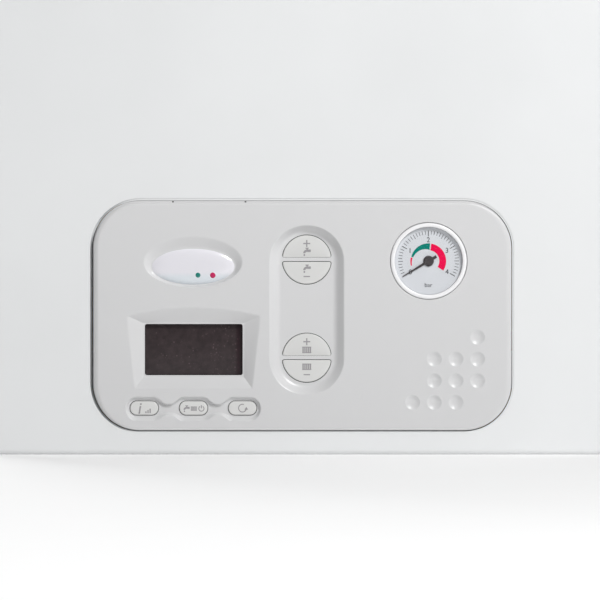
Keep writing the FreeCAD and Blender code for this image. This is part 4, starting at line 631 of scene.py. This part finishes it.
class BoilerTones(bpy.types.PropertyGroup):
    """Colours of the finishes, linear."""

    casing: tone("Casing", "White powder coat of the casing", (0.775, 0.785, 0.79))
    fascia: tone("Fascia", "Pale grey of the control panel", (0.645, 0.645, 0.65))
    keys: tone("Keys", "Warm white of the keys", (0.66, 0.66, 0.65))
    badge: tone("Badge", "Pearl white of the badge", (0.775, 0.765, 0.81))
    display: tone("Display", "Brown-black of the unlit display", (0.0335, 0.0236, 0.0253))
    signs: tone("Signs", "Grey of the printed signs", (0.33, 0.32, 0.33))
    floor: tone("Floor", "Pale floor and backdrop", (0.95, 0.95, 0.95))


class BoilerStageSizes(bpy.types.PropertyGroup):
    """Camera and lights of the studio."""

    distance: length("Camera distance", "From the panel to the camera", 2000.0)
    frame_width: length("Picture width", "Width of the picture at the panel", 372.0)
    aim_side: bpy.props.FloatProperty(name="Aim sideways", default=-1.2 * MM, unit="LENGTH",
                                      description="Picture's centre beside the panel's")
    aim_up: length("Aim up", "Picture's centre above the panel's", 9.6)
    main_power: power("Main light", "Power of the soft light in front", 45.0)
    back_power: power("Back light", "Power of the soft light behind", 25.0)
    room: bpy.props.FloatProperty(name="Room light", description="Strength of the white room's light",
                                  default=0.17, min=0.0)


# Places on the panel, from its centre, and lengths, in millimetres. The display's rim is given by its half
# widths above and below and the heights of its shoulders, crown and foot.
CHANNEL_X, CHANNEL_Z, CHANNEL_LIFT = 3.0, (32.6, -25.8), (2.2, -1.0)
PAIR_Z = (34.7, -26.3)
DISPLAY_X, DISPLAY_Z = -67.2, -21.2
DISPLAY_RIM = (42.0, 36.8, 21.4, 26.6, -24.8)
PILL_X, PILL_Z = (-97.9, -67.3, -36.9), -57.5
PILL_NECK = (1.7, 2.7)
BADGE_X, BADGE_Z, BADGE_DROP = -67.5, 33.4, 3.1
BADGE_RIM = (31.0, 16.1)
DIMPLE_X, DIMPLE_Z, DIMPLE_PITCH = 68.6, -13.6, 13.45
DIMPLE_ROWS = ((3,), (1, 2, 3), (1, 2, 3), (0, 1, 2))
GAUGE_X, GAUGE_Z, GAUGE_HOLE, GAUGE_SEAT = 78.6, 33.8, 22.6, 24.0
LAMPS = ((-64.5, 25.1, "green_lamp", "light_green"), (-55.4, 25.1, "magenta_lamp", "light_red"))
LATCH_X = (-80.0, -35.0)
ARM_X, ARM_WIDTH = (-87.7, 84.7), 3.0

# The panel's centre and face, from the solids, and the thickness of the casing's sheet, in metres
PANEL_X, PANEL_Z = np.mean(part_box("gauge_dial"), axis=0)[[0, 2]] - np.array([GAUGE_X, GAUGE_Z]) * MM
FACE_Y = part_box("fascia")[0][1]
SHEET = 1.0 * MM


def on_panel(x, z):
    """A place on the panel, from millimetres off its centre."""
    return PANEL_X + x * MM, PANEL_Z + z * MM


def panel_ring(sizes, corner, grow=0.0):
    """The panel's outline, made larger by a clearance, with corners of a radius."""
    width, height = sizes.width + 2 * grow, sizes.height + 2 * grow
    return rounded_outline(*on_panel(0, 0), width, height, corner, arc_steps=22, run=24)


def window_ring(sizes, inset=0.0, corner=1.4 * MM):
    """The display's window, made smaller by an inset."""
    width, height = sizes.display_width - 2 * inset, sizes.display_height - 2 * inset
    x, z = on_panel(DISPLAY_X, DISPLAY_Z)
    return rounded_outline(x, z, width, height, corner - inset, arc_steps=8, run=12)


def gauge_ring(radius):
    return oval_outline(*on_panel(GAUGE_X, GAUGE_Z), radius, radius, 128)


def key_ring(sizes, which, grow):
    """Outline of one of the seven keys, made larger by a clearance."""
    corner, least, pill_round = 1.1 * MM, 0.2 * MM, 0.48
    if which < ROUND_KEYS:
        x, z = on_panel(CHANNEL_X, PAIR_Z[which // 2])
        upper = which % 2 == 0
        cut = sizes.key_bar / 2 - grow * (0.2 if upper else 1.0)
        return half_outline(x, z, sizes.key_radius + grow, cut, upper, max(corner + grow, least))
    x, z = on_panel(PILL_X[which - ROUND_KEYS], PILL_Z)
    width, height = sizes.pill_width + 2 * grow, sizes.pill_height + 2 * grow
    return rounded_outline(x, z, width, height, height * pill_round, arc_steps=16, run=6)


class BOILER_OT_fascia(bpy.types.Operator):
    """Moulded face of the control panel, with its recesses, dimples and holes, and its two hinge arms"""

    bl_idname = "boiler.fascia"
    bl_label = "Fascia"

    def execute(self, context):
        s = context.scene.boiler_panel
        build("fascia_face", "control_box", self.patches(s), "fascia_plastic", sharp=24, node="fascia")
        build("hinge_arms", "control_box", self.arms(s), "fascia_plastic")
        return {"FINISHED"}

    def patches(self, s):
        """A rounded plate with a rolled border; each recess carries its outline inwards down a slope."""
        border, depths = self.border(s, panel_ring(s, s.corner))
        patches = [swept(border, depths)]
        mouths, back = [], []

        def recess(rings, depths, floor_holes, rim=0.4 * MM, foot=0.3 * MM):
            """A flat rim, a slope through the rings, a floor with holes, and their walls to the back."""
            rings = [widened(rings[0], rim), *rings] + ([widened(rings[-1], -foot)] if foot else [])
            depths = FACE_Y + np.concatenate([[0.0], depths, depths[-1:] if foot else []])
            patches.extend([swept(rings, depths), flat(depths[-1], rings[-1], floor_holes)])
            patches.extend(swept([hole, hole], [depths[-1], FACE_Y + s.pad]) for hole in floor_holes)
            mouths.append(rings[0])
            back.extend(floor_holes)

        share = np.linspace(0, 1, 13)
        holes = [key_ring(s, k, s.key_gap) for k in range(len(KEYS))]
        recess(*self.channel(s, share), holes[:ROUND_KEYS])
        recess(*self.display(s, share), [window_ring(s)], foot=0.0)
        recess(*self.pill_chain(s, share), holes[ROUND_KEYS:])
        recess(*self.badge(s, share), [])
        for rings, depths in self.dimples(s):
            mouths.append(rings[0])
            patches.append(swept(rings, FACE_Y + depths))
        recess(*self.gauge_seat(s), [gauge_ring(GAUGE_HOLE * MM)])
        return patches + [flat(FACE_Y, border[0], mouths), flat(FACE_Y + s.pad, border[-1], back)]

    def border(self, s, outer, margin=0.4 * MM, power=1.5):
        """The border's section, carried round the panel.

        A power of 1.5 falls over the roll's width, a small circle turns its edge, a step drops to the ledge,
        and the rim leans in to its back and returns inside to the face.
        """
        roll, drop, shelf, step = (by_side(outer, v) for v in (s.roll, s.roll_drop, s.shelf, s.step))
        lean = np.arctan2(power * drop, roll)
        foot = s.edge * (1 - np.sin(lean))
        section = [(shelf + roll + margin, 0 * roll)]
        section += [(shelf + foot + (roll - foot) * (1 - v), drop * v ** power)
                    for v in np.linspace(0, 1, 9)]
        for v in np.linspace(0, 1, 7)[1:]:
            turn = lean + (QUARTER - lean) * v
            section.append((shelf + s.edge * (1 - np.sin(turn)),
                            drop + s.edge * (np.cos(lean) - np.cos(turn))))
        ledge = section[-1][1] + step
        wall, deep = s.wall + 0 * roll, s.skirt + 0 * roll
        section += [(shelf, ledge), (0 * roll, ledge), (by_side(outer, s.draft), deep), (wall, deep),
                    (wall, s.pad + 0 * roll)]
        return [widened(outer, -inset) for inset, _ in section], [FACE_Y + depth for _, depth in section]

    def gauge_seat(self, s, mouth=0.3 * MM):
        """A round seat with a softly turned mouth, a quarter circle of 0.3 mm."""
        insets, depths = quarter(mouth, 6)
        rings = [gauge_ring(GAUGE_SEAT * MM + v) for v in (*insets, 0.0)]
        return rings, np.append(depths, s.gauge_seat)

    def channel(self, s, share, spare=0.8 * MM, round_share=0.97):
        """A slot with round ends, drawn in by the slope's width, less at its ends than along its sides."""
        x = on_panel(CHANNEL_X, 0)[0]
        high, low = (on_panel(0, z)[1] + lift * MM * share for z, lift in zip(CHANNEL_Z, CHANNEL_LIFT))
        half = s.channel_width / 2 + spare - (s.channel_slope + spare) * share
        rings = [rounded_outline(x, (a + b) / 2, 2 * h, a - b + 2 * h, h * round_share, 30, 14)
                 for h, a, b in zip(half, high, low)]
        return rings, s.channel_depth * eased(share, 0.08, 0.5)

    def display(self, s, share, margin=0.12 * MM):
        """An arched trapezium that narrows to the window's rectangle."""
        window = (s.display_width / 2 + margin, s.display_height / 2 + margin)
        rim = tuple(v * MM for v in DISPLAY_RIM)
        rings = [tent_outline(v, *on_panel(DISPLAY_X, DISPLAY_Z), window, rim) for v in share]
        return rings, s.display_depth * eased(share, 0.1, 0.1)

    def pill_chain(self, s, share, neck_share=0.7):
        """Three pill recesses joined by necks, drawn in by the slope's width, which is greater below."""
        xs = [on_panel(x, 0)[0] for x in PILL_X]
        z = on_panel(0, PILL_Z)[1]
        half_w, half_h = s.pill_width / 2 + s.pill_margin, s.pill_height / 2 + s.pill_margin
        side, _, *slopes = s.pill_slope
        rings = []
        for v in 1 - share:
            upper, lower = ((half_h + slope * v, neck * MM + neck_share * slope * v)
                            for slope, neck in zip(slopes, PILL_NECK))
            rings.append(chain_outline(xs, z, half_w + side * v, upper, lower, 180))
        return rings, s.pill_depth * eased(share)

    def badge(self, s, share, margin=0.3 * MM):
        """An ellipse that shrinks to the badge's while its centre sinks."""
        foot = np.array([s.badge_width / 2 + margin, s.badge_height / 2 + margin])
        rings = [oval_outline(*on_panel(BADGE_X, BADGE_Z - BADGE_DROP * v),
                              *(np.array(BADGE_RIM) * MM * (1 - v) + foot * v), 120) for v in share]
        return rings, s.badge_depth * eased(share)

    def dimples(self, s, margin=1.06):
        """Soft bowls: at share v of the radius the depth is d (1 - v^2.4)^1.35, level at rim and middle."""
        share = np.sin(np.linspace(QUARTER, 0, 18))
        depth = np.append(0.0, s.dimple_depth * (1 - share ** 2.4) ** 1.35)
        share = np.append(margin, share)
        for row, columns in enumerate(DIMPLE_ROWS):
            for column in columns:
                x, z = on_panel(DIMPLE_X + column * DIMPLE_PITCH, DIMPLE_Z - row * DIMPLE_PITCH)
                yield [oval_outline(x, z, r, r, 48) for r in s.dimple_radius * share], depth

    def arms(self, s, eye=2.5 * MM, half_bar=1.25 * MM):
        """Each arm is a side outline, an eye with a bar that rises to the skirt, carried across its width."""
        foot = PANEL_Z - s.height / 2
        y, rise, back = (FACE_Y + v * MM for v in (4.0, 12.0, 15.0))
        z = foot - 8.0 * MM
        a = np.linspace(math.asin(half_bar / eye), 1.5 * math.pi, 28)
        side = np.concatenate([arc(a, eye, None, y, z),
                               [(back, z - eye), (back, foot), (rise, foot), (rise, z + half_bar)]])
        sheet, tris = flat(0.0, side)
        patches = []
        for x in ARM_X:
            ends = (x * MM, (x + ARM_WIDTH) * MM)
            patches.append(grid(np.stack([np.insert(side, 0, e, axis=1) for e in ends])))
            patches += [(np.insert(sheet[:, [0, 2]], 0, e, axis=1), tris) for e in ends]
        return patches


class BOILER_OT_opening(bpy.types.Operator):
    """Turned-in lip of the casing's opening, which closes the gap round the fascia, and the latches' tabs"""

    bl_idname = "boiler.opening"
    bl_label = "Opening's lip"

    def execute(self, context):
        s = context.scene.boiler_panel
        build("opening_lip", "front_casing", [self.lip(s), self.rim(s)], "white_paint")
        build("latch_tabs", "control_box", self.tabs(s), "black_plastic")
        return {"FINISHED"}

    def tabs(self, s, below=0.7 * MM, proud=0.15 * MM, sunk=0.4 * MM):
        """Two small upright tabs of the panel's latches, in the ledge along its upper edge."""
        ledge = FACE_Y + s.roll_drop[2] + s.edge + s.step[2]
        patches = []
        for x in LATCH_X:
            ring = rounded_outline(*on_panel(x, 0), width=1.0 * MM, height=0.8 * MM, radius=0.25 * MM,
                                   arc_steps=4, run=2)
            ring[:, 1] += s.height / 2 - below
            patches += prism(ring, ledge - proud, ledge + sunk)
        return patches

    def lip(self, s):
        """A folded section, back from the opening's edge and then inwards, carried round the panel."""
        outline = panel_ring(s, s.corner)
        edge, back = widened(outline, s.opening_gap), widened(outline, s.opening_gap + SHEET)
        inner, front = widened(outline, by_side(outline, s.lip_clear)), by_side(outline, s.lip_depth)
        depths = [SHEET, front, front, front + SHEET, front + SHEET, SHEET, SHEET]
        return swept([edge, edge, inner, inner, back, back, edge], [FACE_Y + d for d in depths])

    def rim(self, s, lap=0.4 * MM, proud=-0.04 * MM):
        """A stepped section, thin on the casing's face and reaching in to rounder corners, carried round."""
        outline, mouth = panel_ring(s, s.corner), panel_ring(s, s.opening_corner, s.opening_gap)
        inner, outer = widened(outline, s.opening_gap - by_side(outline, s.rim_in)), widened(mouth, lap)
        return swept([inner, inner, mouth, mouth, outer, outer, inner],
                     [FACE_Y + d for d in (proud, SHEET, SHEET, 0, 0, proud, proud)])


# Signs: rings in millimetres about their own centre
def placed(ring, x, z):
    """A sign's ring moved to a place on the panel."""
    return np.asarray(ring, float) * MM + np.array(on_panel(x, z))


def printed(rings, y, height):
    """Ink: rings raised by the print's height, each with a front, a back and a rim."""
    return [patch for ring in rings for patch in prism(ring, y - height, y)]


def box_ring(left, right, low, high):
    return np.array([(right, low), (right, high), (left, high), (left, low)])


def arc_ring(radius, thick, start, end, count=40):
    """A strip of a thickness along a circle, between two angles in degrees."""
    return strip(np.radians(np.linspace(start, end, count)), radius + thick / 2, radius - thick / 2)


def bar_sign(size, thick=0.7):
    return [box_ring(-size / 2, size / 2, -thick / 2, thick / 2)]


def plus_sign(size, thick=0.8):
    w, t = size / 2, thick / 2
    return [[(w, -t), (w, t), (t, t), (t, w), (-t, w), (-t, t), (-w, t), (-w, -t), (-t, -t), (-t, -w),
             (t, -w), (t, -t)]]


def tap_sign(size):
    """A tap from the side: a thick bent spout under a short stem with a round handle, and a drop below it.

    It is drawn in a square of ten units.
    """
    bend = np.radians(np.linspace(90, 180, 14))
    stem = [(4.8, -0.4), (4.8, 2.6), (1.4, 2.6), (1.2, 3.4), (2.4, 3.8), (2.4, 4.8), (-1.6, 4.8),
            (-1.6, 3.8), (-0.4, 3.4), (-0.6, 2.6)]
    body = np.concatenate([stem, strip(bend, 4.2, 1.6) + np.array([0.0, -1.8])])
    return [ring * size / 10 for ring in (body, oval_outline(-2.9, -3.9, 1.0, 1.3, 14))]


def radiator_sign(size):
    """Five upright columns between two rails, in a square of ten units."""
    columns = [box_ring(c - 0.7, c + 0.7, -2.4, 2.4) for c in np.linspace(-3.8, 3.8, 5)]
    rails = [box_ring(-4.7, 4.7, z, z + 0.9) for z in (2.4, -3.3)]
    return [ring * size / 10 for ring in columns + rails]


def letter_i(size):
    """Sign for information: a slanting stroke under a dot."""
    low, high, dot = -size / 2, size / 2 - 1.8, 0.6
    return [[(0.3, low), (1.1, high), (0.1, high), (-0.7, low)],
            oval_outline(0.85, size / 2 - dot, dot, dot, 16)]


def bars_sign(size):
    """Three bars that grow to the right."""
    low, half = -size / 2, 0.4
    return [box_ring(x - half, x + half, low, low + size * share)
            for x, share in ((-1.3, 0.4), (0.0, 0.7), (1.3, 1.0))]


def standby_sign(radius):
    """A circle open at the top with a stroke in its gap."""
    return [arc_ring(radius, 0.55, 122, 418), box_ring(-0.3, 0.3, 0.2, radius + 0.5)]


def arrow_sign(radius, half=1.15, low=-0.9, high=0.8):
    """A circular arrow: three quarters of a circle and a head."""
    return [arc_ring(radius, 0.6, 70, 345), [(radius + half, low), (radius, high), (radius - half, low)]]


# Each key's centre on the panel, and its signs with their sizes and places from that centre, in millimetres
KEY_CENTRES = (*((CHANNEL_X, z) for z in PAIR_Z for _ in range(2)), *((x, PILL_Z) for x in PILL_X))
SIGNS = (
    ((plus_sign, 4.3, 0.0, 10.0), (tap_sign, 5.2, 0.0, 4.9)),
    ((bar_sign, 4.0, 0.0, -10.5), (tap_sign, 5.2, 0.0, -5.6)),
    ((plus_sign, 4.3, 0.0, 10.0), (radiator_sign, 6.0, 0.0, 4.9)),
    ((bar_sign, 4.0, 0.0, -10.5), (radiator_sign, 6.0, 0.0, -5.6)),
    ((letter_i, 6.6, -2.9, -0.2), (bars_sign, 2.8, 2.4, -1.7)),
    ((tap_sign, 4.2, -4.4, -0.3), (radiator_sign, 4.0, 0.2, -0.3), (standby_sign, 1.6, 4.9, -0.3)),
    ((arrow_sign, 2.4, 0.0, 0.0),),
)


class BOILER_OT_keys(bpy.types.Operator):
    """Two pairs of half-round keys and a row of three pill keys, with their printed signs"""

    bl_idname = "boiler.keys"
    bl_label = "Keys and signs"

    def execute(self, context):
        s = context.scene.boiler_panel
        for which, name in enumerate(KEYS):
            face = FACE_Y + (s.key_drop if which < ROUND_KEYS else s.pill_drop)
            build(name + "_cap", name, self.cap(s, which, face), "button_plastic", node=name)
            x, z = KEY_CENTRES[which]
            rings = [placed(ring, x + dx, z + dz)
                     for draw, size, dx, dz in SIGNS[which] for ring in draw(size)]
            build(name + "_sign", name, printed(rings, face, s.print_height), "print_grey", "needle_black")
        return {"FINISHED"}

    def cap(self, s, which, face, foot=0.3 * MM):
        """The key's outline as a plug that ends a little behind the fascia's plate."""
        return plug(lambda inset: key_ring(s, which, -inset), s.key_edge, face, FACE_Y + s.pad + foot, 7)


class BOILER_OT_badge(bpy.types.Operator):
    """Bare oval badge with two small lamps"""

    bl_idname = "boiler.badge"
    bl_label = "Badge and lamps"

    def execute(self, context):
        s = context.scene.boiler_panel
        floor, thick, rise = FACE_Y + s.badge_depth, 1.4 * MM, 0.4 * MM
        foot, radius = floor - 1.2 * MM, 1.9 * MM
        oval = (*on_panel(BADGE_X, BADGE_Z - BADGE_DROP), s.badge_width / 2, s.badge_height / 2)
        build("badge_dome", "control_box", dome(*oval, floor, thick, power=7), "badge_plastic", sharp=80,
              node="badge_plate")
        for x, z, name, look in LAMPS:
            lamp = dome(*on_panel(x, z), radius, radius, foot, rise, power=3, count=32)
            build(name, "control_box", lamp, look, "knob_red", sharp=80)
        return {"FINISHED"}


class BOILER_OT_display(bpy.types.Operator):
    """Dark pane of the display behind its window"""

    bl_idname = "boiler.display"
    bl_label = "Display"

    def execute(self, context):
        s = context.scene.boiler_panel
        front, back = (corner[1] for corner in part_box("display_window"))
        margin, edge, sunk = 0.2 * MM, 0.3 * MM, 2.6 * MM
        pane = plug(lambda inset: window_ring(s, margin + inset), edge, front + sunk, back, 5)
        build("display_glass", "control_box", pane, "display_pane", node="display_window")
        return {"FINISHED"}


# The dial: angles in degrees, pressures in bar, radii in millimetres. Each tenth, fifth or other tick has an
# inner radius and a thickness. Each band runs between two pressures, from an outer radius to two inner ones.
DIAL_START, DIAL_SWEEP, DIAL_TOP, STEPS_PER_BAR = 211.0, 241.0, 4, 10
TICK_OUTER, TICKS = 18.9, {10: (15.3, 0.42), 5: (15.9, 0.29), 1: (16.5, 0.29)}
NUMBER_RADIUS, NUMBER_SIZE = 13.2, 4.4
UNIT_DROP, UNIT_SIZE = 14.9, 3.7
BANDS = (("low_band", "print_red", 0.26, 0.7, 11.3, (10.7, 10.1)),
         ("normal_band", "print_green", 0.74, 2.09, 11.0, (9.8, 6.9)),
         ("high_band", "print_red", 2.16, 4.05, 10.9, (6.7, 6.7)))


def dial_angle(value):
    """Angle on the dial of a pressure in bar, in degrees, falling clockwise."""
    return DIAL_START - DIAL_SWEEP * value / DIAL_TOP


def spoke(angle, run, half):
    """A ring along a radius of the dial, from distances along the radius and across it."""
    a = math.radians(angle)
    along, across = np.array([math.cos(a), math.sin(a)]), np.array([-math.sin(a), math.cos(a)])
    return placed(np.outer(run, along) + np.outer(half, across), GAUGE_X, GAUGE_Z)


def band(start, end, outer, inner, count=60):
    """A coloured band on the dial between an outer circle and an inner edge whose radius runs evenly."""
    a = np.radians(np.linspace(dial_angle(start), dial_angle(end), count))
    return placed(strip(a, outer, np.linspace(*inner, count)), GAUGE_X, GAUGE_Z)


def lettering(text, size, x, z, y, height):
    """Raised letters: the font's outline filled, thickened and turned to face the front."""
    curve = bpy.data.curves.new("letters", "FONT")
    curve.body, curve.size, curve.extrude = text, size, height / 2
    curve.align_x, curve.align_y, curve.resolution_u = "CENTER", "CENTER", 6
    holder = bpy.data.objects.new("letters", curve)
    bpy.context.scene.collection.objects.link(holder)
    mesh = bpy.data.meshes.new_from_object(holder.evaluated_get(bpy.context.evaluated_depsgraph_get()))
    mesh.calc_loop_triangles()
    at, tris = np.empty(len(mesh.vertices) * 3), np.empty(len(mesh.loop_triangles) * 3, int)
    mesh.vertices.foreach_get("co", at)
    mesh.loop_triangles.foreach_get("vertices", tris)
    bpy.data.objects.remove(holder)
    bpy.data.curves.remove(curve)
    bpy.data.meshes.remove(mesh)
    at = at.reshape(-1, 3)
    middle_x, middle_z = (at[:, :2].min(axis=0) + at[:, :2].max(axis=0)) / 2
    points = np.column_stack([at[:, 0] - middle_x + x, y - height / 2 - at[:, 2], at[:, 1] - middle_z + z])
    return points, tris.reshape(-1, 3)


class BOILER_OT_gauge(bpy.types.Operator):
    """Pressure gauge: bezel and case, lens, printed dial and needle"""

    bl_idname = "boiler.gauge"
    bl_label = "Pressure gauge"

    def execute(self, context):
        s = context.scene.boiler_panel
        bezel, lens, plate = (self.turned(part(s)) for part in (self.case, self.lens, self.plate))
        build("gauge_bezel", "control_box", [bezel], "gauge_white", sharp=40, node="gauge_case")
        build("gauge_lens", "control_box", [lens], "clear_glass", sharp=40, node="gauge_glass")
        build("dial_plate", "control_box", [plate], "dial_white", node="gauge_dial")
        self.print_dial(FACE_Y + s.dial_depth, s.print_height)
        build("needle_pointer", "needle", self.needle(), "needle_black", node="gauge_needle")
        return {"FINISHED"}

    def turned(self, profile, count=128):
        """A profile of (radius, depth behind the fascia's face) turned round the gauge's axis."""
        return turned(np.asarray(profile) + np.array([0, FACE_Y]), *on_panel(GAUGE_X, GAUGE_Z), count)

    def case(self, s, rise=0.9 * MM, power=0.7):
        """Boss, case, flange, a bezel whose front is a blunt half ellipse, and the well over the dial."""
        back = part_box("gauge_case")[1][1] - FACE_Y
        boss, case, well = (v * MM for v in (6.0, 22.3, 4.0))
        r, d, seat, heel = s.gauge_radius, s.dial_radius, s.gauge_seat, back - 6.0 * MM
        half = (r - d) / 2
        front = [(r - half + half * math.cos(a), rise - s.gauge_proud - rise * math.sin(a) ** power)
                 for a in np.linspace(0, math.pi, 20)]
        return [(0, back), (boss, back), (boss, heel), (case, heel), (case, seat), (r, seat), *front,
                (d, well), (0, well)]

    def plate(self, s, gap=0.1 * MM, bevel=0.2 * MM, hole=0.9 * MM, back=3.95 * MM):
        """The dial's plate, with a hole for the needle's shaft and a turned edge."""
        r, front = s.dial_radius - gap, s.dial_depth
        return [(hole, front), (r - bevel, front), (r, front + bevel), (r, back), (hole, back),
                (hole, front)]

    def lens(self, s, gap=0.15 * MM, crown=0.25 * MM, faces=(0.5 * MM, 1.1 * MM)):
        """A thin domed lens: it rises by a parabola of 0.25 mm from its rim to its middle."""
        share = np.linspace(0, 1, 10)
        radius, rise = (s.dial_radius - gap) * share, crown * (1 - share ** 2)
        front, back = (np.column_stack([radius, y - rise]) for y in faces)
        return np.concatenate([front, back[::-1]])

    def print_dial(self, face, height):
        """Scale, numbers and coloured bands, each printed on the dial's face."""
        scale = []
        for step in range(DIAL_TOP * STEPS_PER_BAR + 1):
            inner, thick = next(TICKS[every] for every in TICKS if step % every == 0)
            run, half = (TICK_OUTER, TICK_OUTER, inner, inner), np.array([-thick, thick, thick, -thick]) / 2
            scale.append(spoke(dial_angle(step / STEPS_PER_BAR), run, half))
        patches = printed(scale, face, height)
        for value in range(DIAL_TOP + 1):
            a = math.radians(dial_angle(value))
            at = on_panel(GAUGE_X + NUMBER_RADIUS * math.cos(a), GAUGE_Z + NUMBER_RADIUS * math.sin(a))
            patches.append(lettering(str(value), NUMBER_SIZE * MM, *at, face, height))
        at = on_panel(GAUGE_X, GAUGE_Z - UNIT_DROP)
        patches.append(lettering("bar", UNIT_SIZE * MM, *at, face, height))
        build("dial_scale", "control_box", patches, "print_black", "needle_black")
        for name, look, *edges in BANDS:
            build(name, "control_box", printed([band(*edges)], face, height), look, "knob_red")

    def needle(self, front=1.45 * MM, back=1.95 * MM):
        """A tapered pointer with a tail and a turned hub, lying at the dial's zero."""
        ring = spoke(DIAL_START, (-5.6, 6.0, 18.7, 18.7, 6.0, -5.6), (-0.85, -0.7, -0.22, 0.22, 0.7, 0.85))
        hub = [(0, 2.0), (3.3, 2.0), (3.3, 1.65), (3.15, 1.45), (2.9, 1.35), (1.2, 1.35), (1.05, 1.42),
               (0, 1.45)]
        return [*prism(ring, FACE_Y + front, FACE_Y + back), self.turned(np.array(hub) * MM, 64)]


class BOILER_OT_finishes(bpy.types.Operator):
    """Makes every finish and puts it on the solids by their material slots"""

    bl_idname = "boiler.finishes"
    bl_label = "Finishes"

    def execute(self, context):
        for plain in list(bpy.data.materials):
            bpy.data.materials.remove(plain)
        make_finishes(context.scene.boiler_tones)
        for row in frame["record"]["subparts"]:
            mesh = frame["nodes"][row["node"]].data
            mesh.materials.clear()
            mesh.materials.append(finish(row["material_slot"]))
        return {"FINISHED"}


class BOILER_OT_stage(bpy.types.Operator):
    """Pale floor, white room, a large soft light from the upper right and a camera square to the panel"""

    bl_idname = "boiler.stage"
    bl_label = "Studio"

    def execute(self, context):
        scene, sizes = context.scene, context.scene.boiler_stage
        self.floor(scene)
        self.room(scene, sizes.room)
        self.light(scene, "main_light", place=(1.04, -1.68, 0.94), size=0.68, power=sizes.main_power)
        self.light(scene, "back_light", place=(-0.9, 1.8, 0.6), size=1.0, power=sizes.back_power)
        self.camera(scene, sizes)
        scene.view_settings.view_transform = "Standard"
        return {"FINISHED"}

    def floor(self, scene, side=8.0, corner=0.01, lift=0.6 * MM):
        """A flat square, which meets the casing's rolled lower edge where it turns under."""
        sheet, tris = flat(0.0, rounded_outline(0, 0, side, side, corner))
        points = np.column_stack([sheet[:, 0], sheet[:, 2], np.full(len(sheet), cad_box[0][2] + lift)])
        mesh = bpy.data.meshes.new("floor")
        mesh.from_pydata(points.tolist(), [], tris.tolist())
        mesh.materials.append(finish("floor_pale"))
        floor = bpy.data.objects.new("floor", mesh)
        scene.collection.objects.link(floor)
        floor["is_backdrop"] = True

    def room(self, scene, strength):
        world = bpy.data.worlds.new("white_room")
        world.use_nodes = True
        back = world.node_tree.nodes["Background"]
        back.inputs["Color"].default_value = WHITE
        back.inputs["Strength"].default_value = strength
        scene.world = world

    def light(self, scene, name, place, size, power):
        """A square area light that faces the panel."""
        lamp = bpy.data.lights.new(name, "AREA")
        lamp.size, lamp.energy = size, power
        lit = bpy.data.objects.new(name, lamp)
        lit.location = place
        aim = Vector((PANEL_X, FACE_Y, PANEL_Z)) - lit.location
        lit.rotation_euler = aim.to_track_quat("-Z", "Y").to_euler()
        scene.collection.objects.link(lit)

    def camera(self, scene, sizes):
        """A long lens, level and square to the panel, framing the picture's width at the panel's face."""
        lens = bpy.data.cameras.new("camera")
        lens.sensor_width = 36.0
        lens.lens = lens.sensor_width * sizes.distance / sizes.frame_width
        camera = bpy.data.objects.new("camera", lens)
        camera.location = (PANEL_X + sizes.aim_side, FACE_Y - sizes.distance, PANEL_Z + sizes.aim_up)
        camera.rotation_euler = (QUARTER, 0, 0)
        scene.collection.objects.link(camera)
        scene.camera = camera


OPERATORS = (BOILER_OT_finishes, BOILER_OT_fascia, BOILER_OT_opening, BOILER_OT_keys, BOILER_OT_badge,
             BOILER_OT_display, BOILER_OT_gauge, BOILER_OT_stage)


class BOILER_PT_pieces(bpy.types.Panel):
    """Lists the boiler's pieces, finishes and studio"""

    bl_idname = "BOILER_PT_pieces"
    bl_label = "Boiler"
    bl_space_type = "VIEW_3D"
    bl_region_type = "UI"
    bl_category = "Boiler"

    def draw(self, context):
        for operator in OPERATORS:
            self.layout.operator(operator.bl_idname)
        for group in (context.scene.boiler_panel, context.scene.boiler_tones, context.scene.boiler_stage):
            for key in group.__annotations__:
                self.layout.prop(group, key)


GROUPS = {"boiler_panel": BoilerPanelSizes, "boiler_tones": BoilerTones, "boiler_stage": BoilerStageSizes}
CLASSES = (*GROUPS.values(), *OPERATORS, BOILER_PT_pieces)


def register():
    for cls in CLASSES:
        bpy.utils.register_class(cls)
    for name, group in GROUPS.items():
        setattr(bpy.types.Scene, name, bpy.props.PointerProperty(type=group))


def unregister():
    for name in GROUPS:
        delattr(bpy.types.Scene, name)
    for cls in reversed(CLASSES):
        bpy.utils.unregister_class(cls)


def main():
    """Builds every piece and the studio, then works out the boxes of the solids and of the finished model."""
    register()
    for operator in OPERATORS:
        group, name = operator.bl_idname.split(".")
        getattr(getattr(bpy.ops, group), name)()
    boxes = {"cad": cad_box, "visual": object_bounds()}
    {name: [list(corner) for corner in box] for name, box in boxes.items()}


if __name__ == "__main__":
    main()
